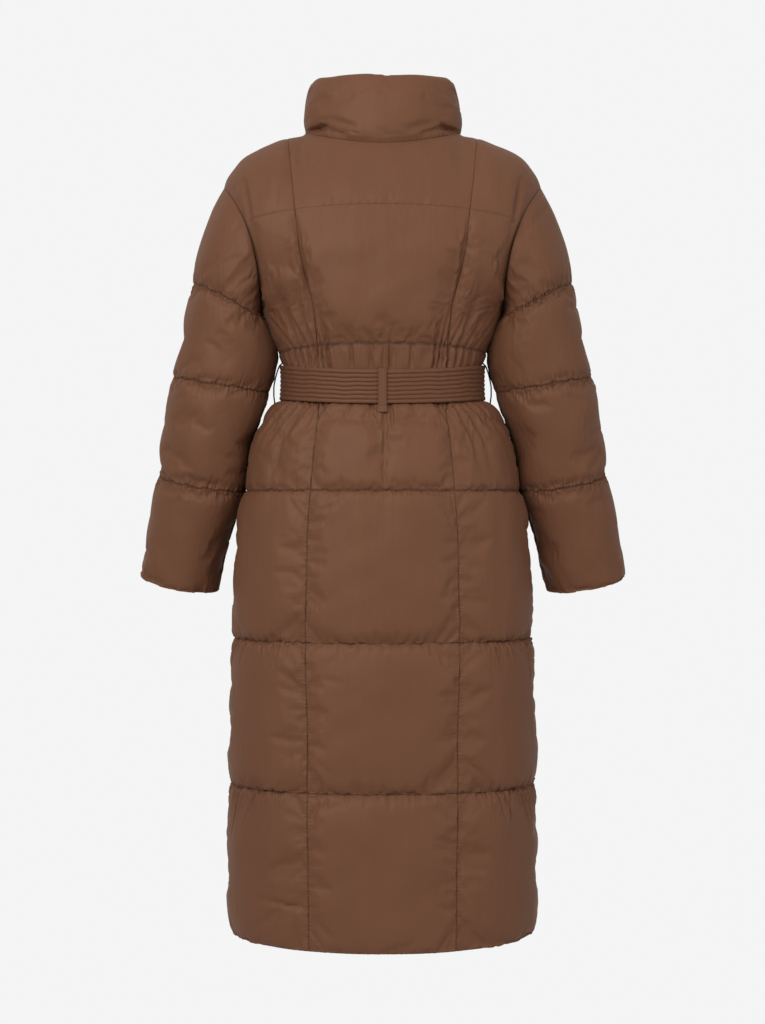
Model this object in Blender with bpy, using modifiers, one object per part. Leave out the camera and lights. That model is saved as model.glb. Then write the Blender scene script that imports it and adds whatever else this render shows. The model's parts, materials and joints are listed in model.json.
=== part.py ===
"""Long quilted puffer coat with a belt, filled out as if worn, with nobody inside it.

Metres, +Z up. The wearer faces -Y, so the back is at +Y and the wearer's left side at +X. The origin
is the middle of the neck opening, level with the side ends of the neck seam.

The body is one smooth envelope, the crown of the padding. Each cut piece is a patch of it with its own
wall: the outer skin sinks from the envelope at quilt rows, seams and gathers, and the inner skin is plain.
A place on the envelope is given by a face (1 back, -1 front), s (0 at the centre, 1 at the side seam or
armhole) and a level v, which is z up to the underarm and runs on to 0 at the neck and shoulder seams.
"""

import math

import bpy
import numpy as np

BACK, FRONT = 1, -1
LEFT, RIGHT = 1, -1


def table(columns, rows):
    """A small table as a dictionary with an array for each named column."""
    return {name: np.array([row[i] for row in rows]) for i, name in enumerate(columns.split())}


# Levels of the body.
HEM = -1.191
ROW_4 = -0.9675
ROW_3 = -0.7515
HIP_ROW = -0.5325
BELT_BOTTOM = -0.3985
BELT_TOP = -0.3465
WAIST_ROW = -0.330
UNDERARM = -0.262
YOKE = -0.105

# Walls and gaps.
WALL = 0.0125
SLEEVE_WALL = 0.011
ARMHOLE_WALL = 0.0085
THINNEST = 0.003
SEAM_GAP = 0.0003
TURNED_SEAM_GAP = 0.0005  # moved back from an edge where the next piece turns away
OVAL = 2.3

# Crown of the padding at each level. rise lifts the centre back above the sides, as the belt pulls it.
BODY = table(
    "z half_width back_depth front_depth rise",
    [
        (-1.191, 0.2285, 0.166, 0.158, 0.0),
        (-1.100, 0.2310, 0.166, 0.158, 0.0),
        (-0.9675, 0.2310, 0.164, 0.157, 0.0),
        (-0.860, 0.2290, 0.162, 0.156, 0.0),
        (-0.7515, 0.2260, 0.160, 0.155, 0.0),
        (-0.657, 0.2220, 0.158, 0.152, 0.0),
        (-0.5925, 0.2180, 0.156, 0.149, 0.0),
        (-0.546, 0.2105, 0.154, 0.147, 0.0),
        (-0.5145, 0.2030, 0.151, 0.145, 0.0),
        (-0.459, 0.1925, 0.144, 0.140, 0.0),
        (-0.4305, 0.1810, 0.138, 0.135, -0.004),
        (-0.404, 0.1615, 0.131, 0.127, -0.008),
        (-0.399, 0.1500, 0.124, 0.119, -0.0095),
        (-0.373, 0.1483, 0.1235, 0.118, -0.0105),
        (-0.3465, 0.1492, 0.1240, 0.118, -0.0115),
        (-0.330, 0.1570, 0.1290, 0.122, 0.0095),
        (-0.306, 0.1640, 0.1340, 0.127, 0.006),
        (-0.262, 0.1800, 0.1400, 0.134, 0.0),
    ],
)

# The centre line of the back and of the front, from the underarm level up to the neck seam.
BACK_NECK_Z, FRONT_NECK_Z = -0.0245, -0.075
CENTRE = table(
    "v back_y front_y",
    [
        (-0.262, 0.140, 0.134),
        (-0.183, 0.139, 0.134),
        (-0.105, 0.130, 0.128),
        (-0.052, 0.113, 0.115),
        (0.0, 0.088, 0.095),
    ],
)

# Neck seam, shoulder seam and armhole.
NECK_HALF_WIDTH = 0.1185
NECK_CORNER = 0.5172  # s of the point where the neck seam meets the shoulder seam
SHOULDER = table(
    "x z",
    [
        (0.1185, 0.0),
        (0.1425, -0.0075),
        (0.1635, -0.015),
        (0.183, -0.0225),
        (0.2085, -0.0375),
        (0.222, -0.0525),
        (0.2325, -0.0675),
        (0.2375, -0.079),
    ],
)
SHOULDER_TIP_X, SHOULDER_TIP_Z = 0.2375, -0.079
UNDERARM_X = 0.180
ARMHOLE_HALF_DEPTH = {BACK: 0.095, FRONT: 0.088}
ARMHOLE_CURVE = 2.4
UNDERARM_SHARE = 0.35  # share of the armhole's height where body and sleeve lie back to back

# Princess seams of the back: distance from the centre at each level.
PRINCESS = table(
    "v x",
    [
        (-1.191, 0.106),
        (-1.090, 0.107),
        (-0.960, 0.109),
        (-0.906, 0.108),
        (-0.752, 0.112),
        (-0.660, 0.110),
        (-0.600, 0.109),
        (-0.531, 0.1045),
        (-0.463, 0.099),
        (-0.406, 0.094),
        (-0.372, 0.0955),
        (-0.315, 0.0985),
        (-0.262, 0.105),
        (-0.190, 0.117),
        (-0.150, 0.1225),
        (-0.105, 0.127),
        (0.0, 0.144),
    ],
)

# Quilt rows: how deep the stitching sinks, and how far the slope reaches above and below it.
ROWS = table(
    "v depth above below",
    [
        (HEM, 0.0060, 0.035, 0.035),
        (ROW_4, 0.0090, 0.060, 0.075),
        (ROW_3, 0.0090, 0.060, 0.075),
        (HIP_ROW, 0.0070, 0.045, 0.050),
        (WAIST_ROW, 0.0080, 0.045, 0.012),
        (YOKE, 0.0045, 0.020, 0.030),
    ],
)
PANEL_SEAM = {"depth": 0.0042, "reach": 0.022}
FRONT_EDGE_DEPTH, FRONT_EDGE_REACH = 0.0042, 0.018
BELT_PRESS = 0.0012

# Gathers at the waist: s of each one, its half width and depth in metres, how far it runs up and down, and
# how much it fans out from the middle.
GATHERS = {
    BACK: table(
        "s width depth up down fan",
        [
            (-0.88, 0.0085, 0.0040, 0.060, 0.060, 0.10),
            (-0.76, 0.0080, 0.0050, 0.075, 0.055, 0.08),
            (-0.64, 0.0070, 0.0062, 0.110, 0.085, 0.10),
            (-0.55, 0.0065, 0.0055, 0.070, 0.045, 0.08),
            (-0.47, 0.0070, 0.0062, 0.100, 0.080, 0.06),
            (-0.36, 0.0075, 0.0040, 0.055, 0.040, 0.04),
            (-0.20, 0.0080, 0.0030, 0.045, 0.035, 0.02),
            (-0.07, 0.0080, 0.0038, 0.060, 0.070, 0.00),
            (0.10, 0.0080, 0.0034, 0.050, 0.040, 0.02),
            (0.24, 0.0075, 0.0042, 0.060, 0.045, 0.04),
            (0.36, 0.0070, 0.0056, 0.090, 0.060, 0.06),
            (0.46, 0.0065, 0.0062, 0.110, 0.085, 0.08),
            (0.56, 0.0070, 0.0060, 0.080, 0.050, 0.10),
            (0.66, 0.0070, 0.0064, 0.115, 0.090, 0.10),
            (0.78, 0.0080, 0.0050, 0.070, 0.060, 0.08),
            (0.90, 0.0085, 0.0040, 0.055, 0.055, 0.10),
        ],
    ),
    FRONT: table(
        "s width depth up down fan",
        [
            (-0.86, 0.0085, 0.0042, 0.060, 0.060, 0.10),
            (-0.70, 0.0080, 0.0055, 0.085, 0.070, 0.08),
            (-0.56, 0.0075, 0.0060, 0.100, 0.080, 0.08),
            (-0.42, 0.0080, 0.0048, 0.070, 0.060, 0.06),
            (-0.27, 0.0080, 0.0040, 0.055, 0.045, 0.04),
            (0.25, 0.0080, 0.0042, 0.060, 0.050, 0.04),
            (0.40, 0.0080, 0.0052, 0.075, 0.065, 0.06),
            (0.54, 0.0075, 0.0060, 0.105, 0.080, 0.08),
            (0.69, 0.0080, 0.0054, 0.080, 0.070, 0.08),
            (0.85, 0.0085, 0.0042, 0.060, 0.060, 0.10),
        ],
    ),
}

# Short pulls of the cloth across each quilt row.
PULL_LENGTH = 0.044
PULL_DEPTH = 0.0016
PULL_REACH = 0.030
PULL_BEAT = 8.3
PULL_SHIFT = 0.2

# Length of a quarter of the body, centre to side seam, and of the sleeve for each radian round it.
WAIST_QUARTER = 0.225
BODY_QUARTER = 0.33
SLEEVE_RADIUS = 0.07

# Columns and levels of the body's grids.
CENTRE_COLUMNS = 12
SIDE_COLUMNS = 12
LEVELS_BELOW_YOKE = [
    (HEM, [0.0, 0.008, 0.034, 0.100, 0.165, 0.206]),
    (ROW_4, [0.0, 0.009, 0.038, 0.100, 0.160, 0.200]),
    (ROW_3, [0.0, 0.009, 0.038, 0.100, 0.162, 0.203]),
    (HIP_ROW, [0.0, 0.008, 0.028, 0.060, 0.090, 0.112, 0.1275]),
    (BELT_BOTTOM, [0.0, 0.026]),
    (BELT_TOP, [0.0, 0.008]),
    (WAIST_ROW, [0.0, 0.008, 0.026, 0.048]),
    (UNDERARM, [0.0, 0.028, 0.058, 0.092, 0.124, 0.147]),
]
# Above this level the inner skin keeps every row of points, below it every second one.
CURVED_FROM = -0.47
LEVELS_ABOVE_YOKE = [YOKE, -0.094, -0.070, -0.045, -0.020, 0.0]
LEVELS_NOT_ON_SLEEVE = (-0.115, -0.094)

# Front closing: the wearer's right front laps over the left one. Outside the lap both walls are whole again
# from LAP_SIDE on. LAP_STEP has how far past the lap the left one, the right one and the test for both lie.
LAP = 0.014
LAP_SIDE = 0.019
LAP_STEP = (0.0004, 0.0006, 0.0010)
LAP_LAYER = 0.0035
LAP_GAP = 0.0018
FRONT_NECK_COLUMNS = (3, 4, 6, 8, 10)  # shares of the way to the princess line, in twelfths

# Sleeve sections from armhole to cuff, square to the arm: distance down the arm, middle, half width across
# the arm, half depth front to back, tilt of the section in degrees (outer end up) and lean (back edge down).
SLEEVE = table(
    "t x y z half_width half_depth tilt lean",
    [
        (0.000, 0.2088, 0.0035, -0.1705, 0.0957, 0.0915, 72.5, 0.0),
        (0.030, 0.2210, 0.0030, -0.1980, 0.0794, 0.0900, 62.0, 0.0),
        (0.064, 0.2308, 0.0020, -0.2300, 0.0650, 0.0870, 45.0, 0.0),
        (0.087, 0.2333, 0.0010, -0.2525, 0.0588, 0.0835, 29.0, 0.0),
        (0.153, 0.2325, 0.0000, -0.3180, 0.0685, 0.0800, 14.0, 0.0),
        (0.208, 0.2430, -0.0010, -0.3745, 0.0722, 0.0770, 9.3, 2.0),
        (0.285, 0.2612, -0.0050, -0.4500, 0.0660, 0.0720, 9.2, 5.0),
        (0.356, 0.2730, -0.0140, -0.5200, 0.0659, 0.0670, 9.4, 8.0),
        (0.434, 0.2900, -0.0260, -0.5960, 0.0615, 0.0620, 10.0, 9.0),
        (0.513, 0.3060, -0.0380, -0.6730, 0.0597, 0.0570, 10.9, 9.0),
    ],
)
SLEEVE_ROWS = table(
    "t depth above below",
    [
        (0.000, 0.0060, 0.020, 0.030),
        (0.087, 0.0078, 0.035, 0.040),
        (0.208, 0.0078, 0.045, 0.050),
        (0.356, 0.0078, 0.045, 0.050),
        (0.513, 0.0055, 0.030, 0.030),
    ],
)
SLEEVE_LEVELS = [
    0.0, 0.010, 0.026, 0.045, 0.062, 0.077, 0.087, 0.096, 0.118, 0.145, 0.172, 0.194, 0.208, 0.219,
    0.245, 0.275, 0.310, 0.338, 0.356, 0.368, 0.395, 0.430, 0.470, 0.500, 0.513,
]
ARMHOLE_BLEND = 0.16

# Collar: the section of the pad above its base, as distances out from the neck seam and shares of its
# height, up the outside, over the top and down the inside. The base lies on the edge of the body's wall.
COLLAR_GAP = 0.0006
COLLAR_HEIGHT = {BACK: 0.099, FRONT: 0.098}
COLLAR_SIDE_HEIGHT = 0.083
COLLAR_SECTION = table(
    "out up",
    [
        (-0.0010, 0.07),
        (0.0000, 0.22),
        (-0.0020, 0.45),
        (-0.0060, 0.68),
        (-0.0110, 0.86),
        (-0.0165, 0.96),
        (-0.0230, 1.00),
        (-0.0300, 0.95),
        (-0.0345, 0.82),
        (-0.0335, 0.60),
        (-0.0285, 0.35),
        (-0.0210, 0.12),
    ],
)
COLLAR_OPENING = 0.0025
INNER_SKIPS = (3, 6)  # front columns where the body's inner skin has no point

# Belt, its tie and its carriers.
BELT_COLUMNS = 42
BELT_CHANNELS = 8
BELT_CLEARANCE = 0.0004
BELT_VALLEY, BELT_CROWN = 0.0034, 0.0048
BELT_END = 0.020  # share of a quarter turn left open behind the knot
KNOT_SIZE = (0.046, 0.020, 0.052)
KNOT_SHRINKS = (1.28, 1.20, 1.28)
KNOT_SEAT = 0.0004  # how far the knot's rounded back reaches in past the belt's own ends
TAIL_WIDTH, TAIL_THICKNESS, TAIL_CLEARANCE = 0.050, 0.0036, 0.0030
TAILS = table(
    "side x_top x_bottom v_bottom",
    [
        (LEFT, 0.016, 0.052, -0.760),
        (RIGHT, -0.016, -0.046, -0.735),
    ],
)
TAIL_TOP = -0.4005
TAIL_NECK = 0.60  # width where it leaves the knot, as a share of its full width
TAIL_FALL = {"out": 0.0060, "reach": 0.070}  # how far it starts out in front, under the middle of the knot
TAIL_ROWS, TAIL_COLUMNS = 12, 5
LOOP_WIDTH, LOOP_THICKNESS = 0.0125, 0.002
LOOP_PATH = table(
    "v out",
    [
        (-0.3405, 0.0006),
        (-0.3435, 0.0030),
        (-0.3460, 0.0053),
        (-0.3720, 0.0056),
        (-0.3990, 0.0053),
        (-0.4015, 0.0030),
        (-0.4060, 0.0008),
        (-0.4135, 0.0006),
    ],
)
THREAD_RADIUS = 0.0009
THREAD_STEPS = 14
THREAD_ROUTE = table(
    "x z",
    [
        (0.1494, -0.3405),
        (0.1513, -0.3435),
        (0.1544, -0.3465),
        (0.1578, -0.3550),
        (0.1612, -0.3680),
        (0.1630, -0.3800),
        (0.1630, -0.3900),
        (0.1621, -0.3985),
        (0.1611, -0.4074),
    ],
)


def smooth(xs, ys, x):
    """Monotone cubic through the points (xs, ys), so that no section overshoots its neighbours."""
    order = np.argsort(xs)
    xs, ys = np.asarray(xs, float)[order], np.asarray(ys, float)[order]
    gap = np.diff(xs)
    slope = np.diff(ys) / gap
    tangent = np.zeros_like(ys)
    tangent[0], tangent[-1] = slope[0], slope[-1]
    for k in range(1, len(xs) - 1):
        if slope[k - 1] * slope[k] > 0:
            before, after = 2 * gap[k] + gap[k - 1], gap[k] + 2 * gap[k - 1]
            tangent[k] = (before + after) / (before / slope[k - 1] + after / slope[k])
    x = np.clip(x, xs[0], xs[-1])
    k = np.clip(np.searchsorted(xs, x) - 1, 0, len(gap) - 1)
    t = (x - xs[k]) / gap[k]
    start = ys[k] * (1 + 2 * t) * (1 - t) ** 2 + gap[k] * tangent[k] * t * (1 - t) ** 2
    return start + ys[k + 1] * t * t * (3 - 2 * t) + gap[k] * tangent[k + 1] * t * t * (t - 1)


def ease(x):
    """0 to 1 with flat ends."""
    x = np.clip(x, 0, 1)
    return x * x * (3 - 2 * x)


def unit(vectors):
    return vectors / np.linalg.norm(vectors, axis=-1, keepdims=True)


def oval(turn):
    """Sine and cosine, pushed out to a slightly squarish oval."""
    sine, cosine = np.sin(turn), np.cos(turn)
    push = (np.abs(sine) ** OVAL + np.abs(cosine) ** OVAL) ** (-1 / OVAL)
    return sine * push, cosine * push


# ---- the body's envelope


def skirt_point(face, s, v):
    across, along = oval(s * math.pi / 2)
    width = smooth(BODY["z"], BODY["half_width"], v)
    depth = smooth(BODY["z"], BODY["back_depth" if face == BACK else "front_depth"], v)
    rise = smooth(BODY["z"], BODY["rise"], v) if face == BACK else 0.0
    return np.stack([width * across, face * depth * along, v + rise * along**2], axis=-1)


def armhole_point(face, v):
    """The armhole seam: underarm at v = UNDERARM, shoulder tip at v = 0."""
    turn = math.pi * v / UNDERARM
    half_height = (SHOULDER_TIP_Z - UNDERARM) / 2
    share = (1 + np.cos(turn)) / 2
    x = UNDERARM_X + (SHOULDER_TIP_X - UNDERARM_X) * share**ARMHOLE_CURVE
    y = face * ARMHOLE_HALF_DEPTH[face] * np.sin(turn)
    return np.stack([x, y, UNDERARM + 2 * half_height * share], axis=-1)


def chest_point(face, s, v):
    across, along = oval(s * math.pi / 2)
    edge = armhole_point(face, v)
    centre_y = face * smooth(CENTRE["v"], CENTRE["back_y" if face == BACK else "front_y"], v)
    top_z = BACK_NECK_Z if face == BACK else FRONT_NECK_Z
    centre_z = UNDERARM + (1 - v / UNDERARM) * (top_z - UNDERARM)
    x = edge[..., 0] * across
    y = edge[..., 1] + (centre_y - edge[..., 1]) * along
    z = edge[..., 2] + (centre_z - edge[..., 2]) * along**2
    return np.stack([x, y, z], axis=-1)


def top_point(face, s):
    """The neck seam up to NECK_CORNER, then the shoulder seam out to its tip."""
    size, side = np.abs(s), np.sign(s)
    turn = np.minimum(size / NECK_CORNER, 1) * math.pi / 2
    depth = face * (CENTRE["back_y"][-1] if face == BACK else CENTRE["front_y"][-1])
    drop = BACK_NECK_Z if face == BACK else FRONT_NECK_Z
    out = np.maximum(size - NECK_CORNER, 0) / (1 - NECK_CORNER)
    x = NECK_HALF_WIDTH * np.sin(turn) + (SHOULDER_TIP_X - NECK_HALF_WIDTH) * out
    z = np.where(size < NECK_CORNER, drop * np.cos(turn) ** 2, smooth(SHOULDER["x"], SHOULDER["z"], x))
    return np.stack([side * x, depth * np.cos(turn), z], axis=-1)


def yoke_point(face, s, v):
    """Above the yoke line, the surface bends over to the shoulder seam."""
    up = (v - YOKE) / (0 - YOKE)
    roll = ease((np.abs(s) / NECK_CORNER - 0.7) / 0.5)
    low, high = chest_point(face, s, np.full_like(v, YOKE)), top_point(face, s)
    bend = (1 - roll) * np.clip(up, 0, 2) ** 1.4 + roll * (1 - np.cos(up * math.pi / 2))
    climb = (1 - roll) * up + roll * np.sin(up * math.pi / 2)
    share = np.stack([up, bend, climb], axis=-1)
    return low + (high - low) * share


def body_point(face, s, v):
    s, v = np.broadcast_arrays(np.asarray(s, float), np.asarray(v, float))
    side = np.where(s < 0, -1.0, 1.0)
    size = np.abs(s)
    point = np.where((v < UNDERARM)[..., None], skirt_point(face, size, v), chest_point(face, size, v))
    above = yoke_point(face, size, v)
    edge_miss = armhole_point(face, v) - yoke_point(face, np.ones_like(v), v)
    above = above + edge_miss * (size**6)[..., None]
    point = np.where((v > YOKE)[..., None], above, point)
    point[..., 0] *= side
    return point


def body_normal(face, s, v):
    step_s, step_v = 1e-3, 1e-4
    s, v = np.broadcast_arrays(np.asarray(s, float), np.asarray(v, float))
    high = np.clip(v + step_v, HEM + 2 * step_v, 0)
    along_v = body_point(face, s, high) - body_point(face, s, high - 2 * step_v)
    along_s = body_point(face, s + step_s, v) - body_point(face, s - step_s, v)
    return unit(face * np.cross(along_v, along_s))


def s_at(face, x, v):
    """The s of the point that lies x from the centre at each level."""
    v = np.asarray(v, float)
    low, high = np.full_like(v, -1.0), np.full_like(v, 1.0)
    for _ in range(40):
        middle = (low + high) / 2
        under = body_point(face, middle, v)[..., 0] < x
        low, high = np.where(under, middle, low), np.where(under, high, middle)
    return (low + high) / 2


def princess_s(v):
    return s_at(BACK, smooth(PRINCESS["v"], PRINCESS["x"], v), v)


# ---- how deep the outer skin lies under the envelope


def valley(distance, reach):
    """1 at a stitch line, falling steeply and then gently to 0 at its reach."""
    share = np.clip(np.abs(distance) / reach, 0, 1)
    return 0.55 * (1 - share) ** 2 + 0.45 * np.exp(-share / 0.14) * (1 - share)


def row_depth(rows, v):
    depth = np.zeros_like(v)
    places = rows["v"] if "v" in rows else rows["t"]
    for level, deep, above, below in zip(places, rows["depth"], rows["above"], rows["below"]):
        reach = np.where(v > level, above, below)
        depth = np.maximum(depth, deep * valley(v - level, reach))
    return depth


def gather_depth(face, s, v):
    depth = np.zeros_like(v)
    for place, width, deep, up, down, fan in zip(*GATHERS[face].values()):
        away = np.maximum(np.maximum(v - WAIST_ROW, BELT_BOTTOM - v), 0)
        reach = np.where(v > WAIST_ROW, up, down)
        middle = place * (1 + fan * away / reach)
        spread = width * (1 + 0.8 * away / reach)
        fold = np.exp(-(((s - middle) * WAIST_QUARTER / spread) ** 2))
        depth = depth + deep * fold * np.exp(-((away / reach) ** 1.5))
    return depth


def pull_depth(rows, around, v):
    """Ripples across the rows, uneven because two wavelengths beat."""
    depth = np.zeros_like(v)
    for level in rows:
        phase = 37.0 * level
        wave = np.sin(2 * math.pi * around / PULL_LENGTH + phase) * np.sin(PULL_BEAT * around + 2 * phase)
        depth = np.maximum(depth, PULL_DEPTH * np.abs(wave) * np.exp(-np.abs(v - level) / PULL_REACH))
    return depth


def join_depths(*depths):
    """Deepest of several, rounded where they cross, and never through the wall."""
    total = sum(d**3 for d in depths) ** (1 / 3)
    return np.minimum(total, WALL - THINNEST)


# ---- meshes


def lengths(points):
    """Distance along each row of a grid from its first column."""
    steps = np.linalg.norm(np.diff(points, axis=1), axis=-1)
    return np.concatenate([np.zeros((len(points), 1)), np.cumsum(steps, axis=1)], axis=1)


def draw_in(grid, rows=(0.0, 0.0), columns=(0.0, 0.0)):
    """Moves a grid's edges inwards by a seam gap each, along the surface."""
    grid = grid.copy()
    for edge, inner, gap in ((0, 1, rows[0]), (-1, -2, rows[1])):
        grid[edge] += unit(grid[inner] - grid[edge]) * gap
    for edge, inner, gap in ((0, 1, columns[0]), (-1, -2, columns[1])):
        grid[:, edge] += unit(grid[:, inner] - grid[:, edge]) * gap
    return grid


class Mesh:
    def __init__(self):
        self.points, self.faces = [], []

    def add(self, points):
        first = len(self.points)
        self.points.extend(map(tuple, np.asarray(points).reshape(-1, 3)))
        return first + np.arange(len(self.points) - first)

    def grid(self, index, closed=False, flip=False):
        rows, columns = index.shape
        for i in range(rows - 1):
            for j in range(columns if closed else columns - 1):
                k = (j + 1) % columns
                quad = [index[i, j], index[i, k], index[i + 1, k], index[i + 1, j]]
                self.faces.append(quad[::-1] if flip else quad)

    def strip(self, fine, coarse, kept, flip=False):
        """Triangles between an edge of the outer skin and the inner skin's edge, which keeps fewer points."""
        for n in range(len(kept) - 1):
            first, last = kept[n], kept[n + 1]
            half = (first + last + 1) // 2
            faces = [[fine[k], fine[k + 1], coarse[n]] for k in range(first, half)]
            faces.append([fine[half], coarse[n + 1], coarse[n]])
            faces += [[fine[k], fine[k + 1], coarse[n + 1]] for k in range(half, last)]
            self.faces += [face[::-1] if flip else face for face in faces]

    def to_object(self, name, material):
        mesh = bpy.data.meshes.new(name)
        mesh.from_pydata(self.points, [], [list(map(int, face)) for face in self.faces])
        mesh.validate()
        mesh.materials.append(material)
        return place(name, mesh)


def place(name, mesh):
    mesh.shade_smooth()
    mesh.set_sharp_from_angle(angle=math.radians(50))
    obj = bpy.data.objects.new(name, mesh)
    COAT.objects.link(obj)
    return obj


def wall(name, outer, inner, rows_kept, columns_kept, material, closed=False, flip=False):
    """A closed wall between a fine outer grid and an inner one that keeps only some rows and columns.
    Columns and rows run so that their cross product faces out, or flip is set."""
    mesh = Mesh()
    rows_kept, columns_kept = list(rows_kept), list(columns_kept)
    out = mesh.add(outer).reshape(outer.shape[:2])
    kept = inner[np.ix_(rows_kept, columns_kept)]
    into = mesh.add(kept).reshape(kept.shape[:2])
    mesh.grid(out, closed, flip)
    mesh.grid(into, closed, not flip)
    ring = columns_kept + [outer.shape[1]] if closed else columns_kept
    for edge, turned in ((0, not flip), (-1, flip)):
        fine, coarse = list(out[edge]), list(into[edge])
        if closed:
            fine, coarse = fine + fine[:1], coarse + coarse[:1]
        mesh.strip(fine, coarse, ring, turned)
    if not closed:
        for edge, turned in ((0, flip), (-1, not flip)):
            mesh.strip(list(out[:, edge]), list(into[:, edge]), rows_kept, turned)
    return mesh.to_object(name, material)


def every_second(count, also=()):
    return sorted(set(range(0, count, 2)) | {count - 1} | set(also))


# ---- body panels


def levels(plan):
    found = [start + step for start, steps in plan for step in steps]
    return np.array(found)


LOW_LEVELS = np.append(levels(LEVELS_BELOW_YOKE), YOKE)
HIGH_LEVELS = np.array(LEVELS_ABOVE_YOKE)
ALL_LEVELS = np.concatenate([LOW_LEVELS, HIGH_LEVELS[1:]])


def armhole_direction(face, v):
    """Straight out from the middle of the armhole, along which both walls are thick at the armhole seam."""
    turn = math.pi * v / UNDERARM
    up = unit(np.array([SHOULDER_TIP_X - UNDERARM_X, 0.0, SHOULDER_TIP_Z - UNDERARM]))
    return np.cos(turn)[..., None] * up + face * np.sin(turn)[..., None] * np.array([0.0, 1.0, 0.0])


def armhole_share(v):
    """0 at the underarm, where body and sleeve lie back to back, and 1 above that."""
    return ease((1 - v / UNDERARM) / UNDERARM_SHARE)


def shared_normals(face, s, v):
    """Wall directions: the envelope's normal, made one with the next piece's at armhole and shoulder seams."""
    direction = body_normal(face, s, v)
    at_armhole = (np.abs(s) > 0.999) & (v >= UNDERARM)
    mirror = np.stack([np.sign(s), np.ones_like(s), np.ones_like(s)], axis=-1)
    share = armhole_share(v)[..., None]
    mixed = unit(direction * (1 - share) + armhole_direction(face, v) * mirror * share)
    direction = np.where(at_armhole[..., None], mixed, direction)
    at_shoulder = (v > -1e-6) & (np.abs(s) > NECK_CORNER - 1e-6) & (np.abs(s) < 0.999)
    both = body_normal(BACK, s, v) + body_normal(FRONT, s, v)
    return unit(np.where(at_shoulder[..., None], both, direction))


def body_depth(face, s, v, points, seams):
    """Rows, gathers, pulls and the valleys beside the panel's own sewn edges."""
    run = lengths(points)
    depths = [row_depth(ROWS, v), gather_depth(face, s, v)]
    depths.append(pull_depth(ROWS["v"][1:-1], np.abs(s) * BODY_QUARTER + PULL_SHIFT * face, v))
    if seams[0]:
        depths.append(seams[0] * valley(run, PANEL_SEAM["reach"]))
    if seams[1]:
        depths.append(seams[1] * valley(run[:, -1:] - run, PANEL_SEAM["reach"]))
    depths.append(PANEL_SEAM["depth"] * valley(v, PANEL_SEAM["reach"]) * (v > YOKE))
    depth = join_depths(*depths)
    pressed = (v < BELT_TOP + 1e-6) & (v > BELT_BOTTOM - 1e-6)
    depth = np.where(pressed, np.maximum(depth * 0.5, BELT_PRESS), depth)
    at_underarm = (np.abs(s) > 0.999) & (v >= UNDERARM)
    return np.where(at_underarm, depth * armhole_share(v), depth)


def body_panel(name, face, s, v, seams, material, outer_depth=None, inner_depth=None, kept=None, gaps=None):
    """s and v are grids with a row for each level and a column for each upright line. seams says how deep
    each side edge is sewn in, kept which columns the inner skin keeps, and gaps how far edges draw back."""
    points = body_point(face, s, v)
    direction = shared_normals(face, s, v)
    depth = body_depth(face, s, v, points, seams)
    if outer_depth is not None:
        depth = outer_depth(points, depth)
    thick = np.full_like(depth, WALL) if inner_depth is None else inner_depth(points)
    thick = np.where((np.abs(s) > 0.999) & (v >= UNDERARM), ARMHOLE_WALL, thick)
    half = SEAM_GAP / 2
    rows, columns = gaps or ((half, half), (half, half))
    outer = draw_in(points - direction * depth[..., None], rows, columns)
    inner = draw_in(points - direction * thick[..., None], rows, columns)
    curved = [k for k, level in enumerate(v[:, 0]) if CURVED_FROM < level]
    rows_kept = every_second(len(v), curved)
    kept = kept or every_second(s.shape[1])
    return wall(name, outer, inner, rows_kept, kept, material, flip=face == BACK)


def spread(start, end, count):
    """Columns between two upright lines, whose s changes with the level."""
    share = np.linspace(0, 1, count + 1)[None, :]
    return start[:, None] * (1 - share) + end[:, None] * share


def back_panels(material):
    seam = PANEL_SEAM["depth"]
    for levels_here, prefix in ((LOW_LEVELS, "back"), (HIGH_LEVELS, "back_yoke")):
        line = princess_s(levels_here)
        one = np.ones_like(line)
        v_centre = np.repeat(levels_here[:, None], 2 * CENTRE_COLUMNS + 1, axis=1)
        v_side = np.repeat(levels_here[:, None], SIDE_COLUMNS + 1, axis=1)
        seams = (seam, seam)
        side_name = prefix if prefix == "back_yoke" else prefix + "_side"
        middle_s = spread(-line, line, 2 * CENTRE_COLUMNS)
        left_s, right_s = spread(line, one, SIDE_COLUMNS), spread(-one, -line, SIDE_COLUMNS)
        body_panel(prefix + "_centre", BACK, middle_s, v_centre, seams, material)
        body_panel(side_name + "_left", BACK, left_s, v_side, seams, material)
        body_panel(side_name + "_right", BACK, right_s, v_side, seams, material)


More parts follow.
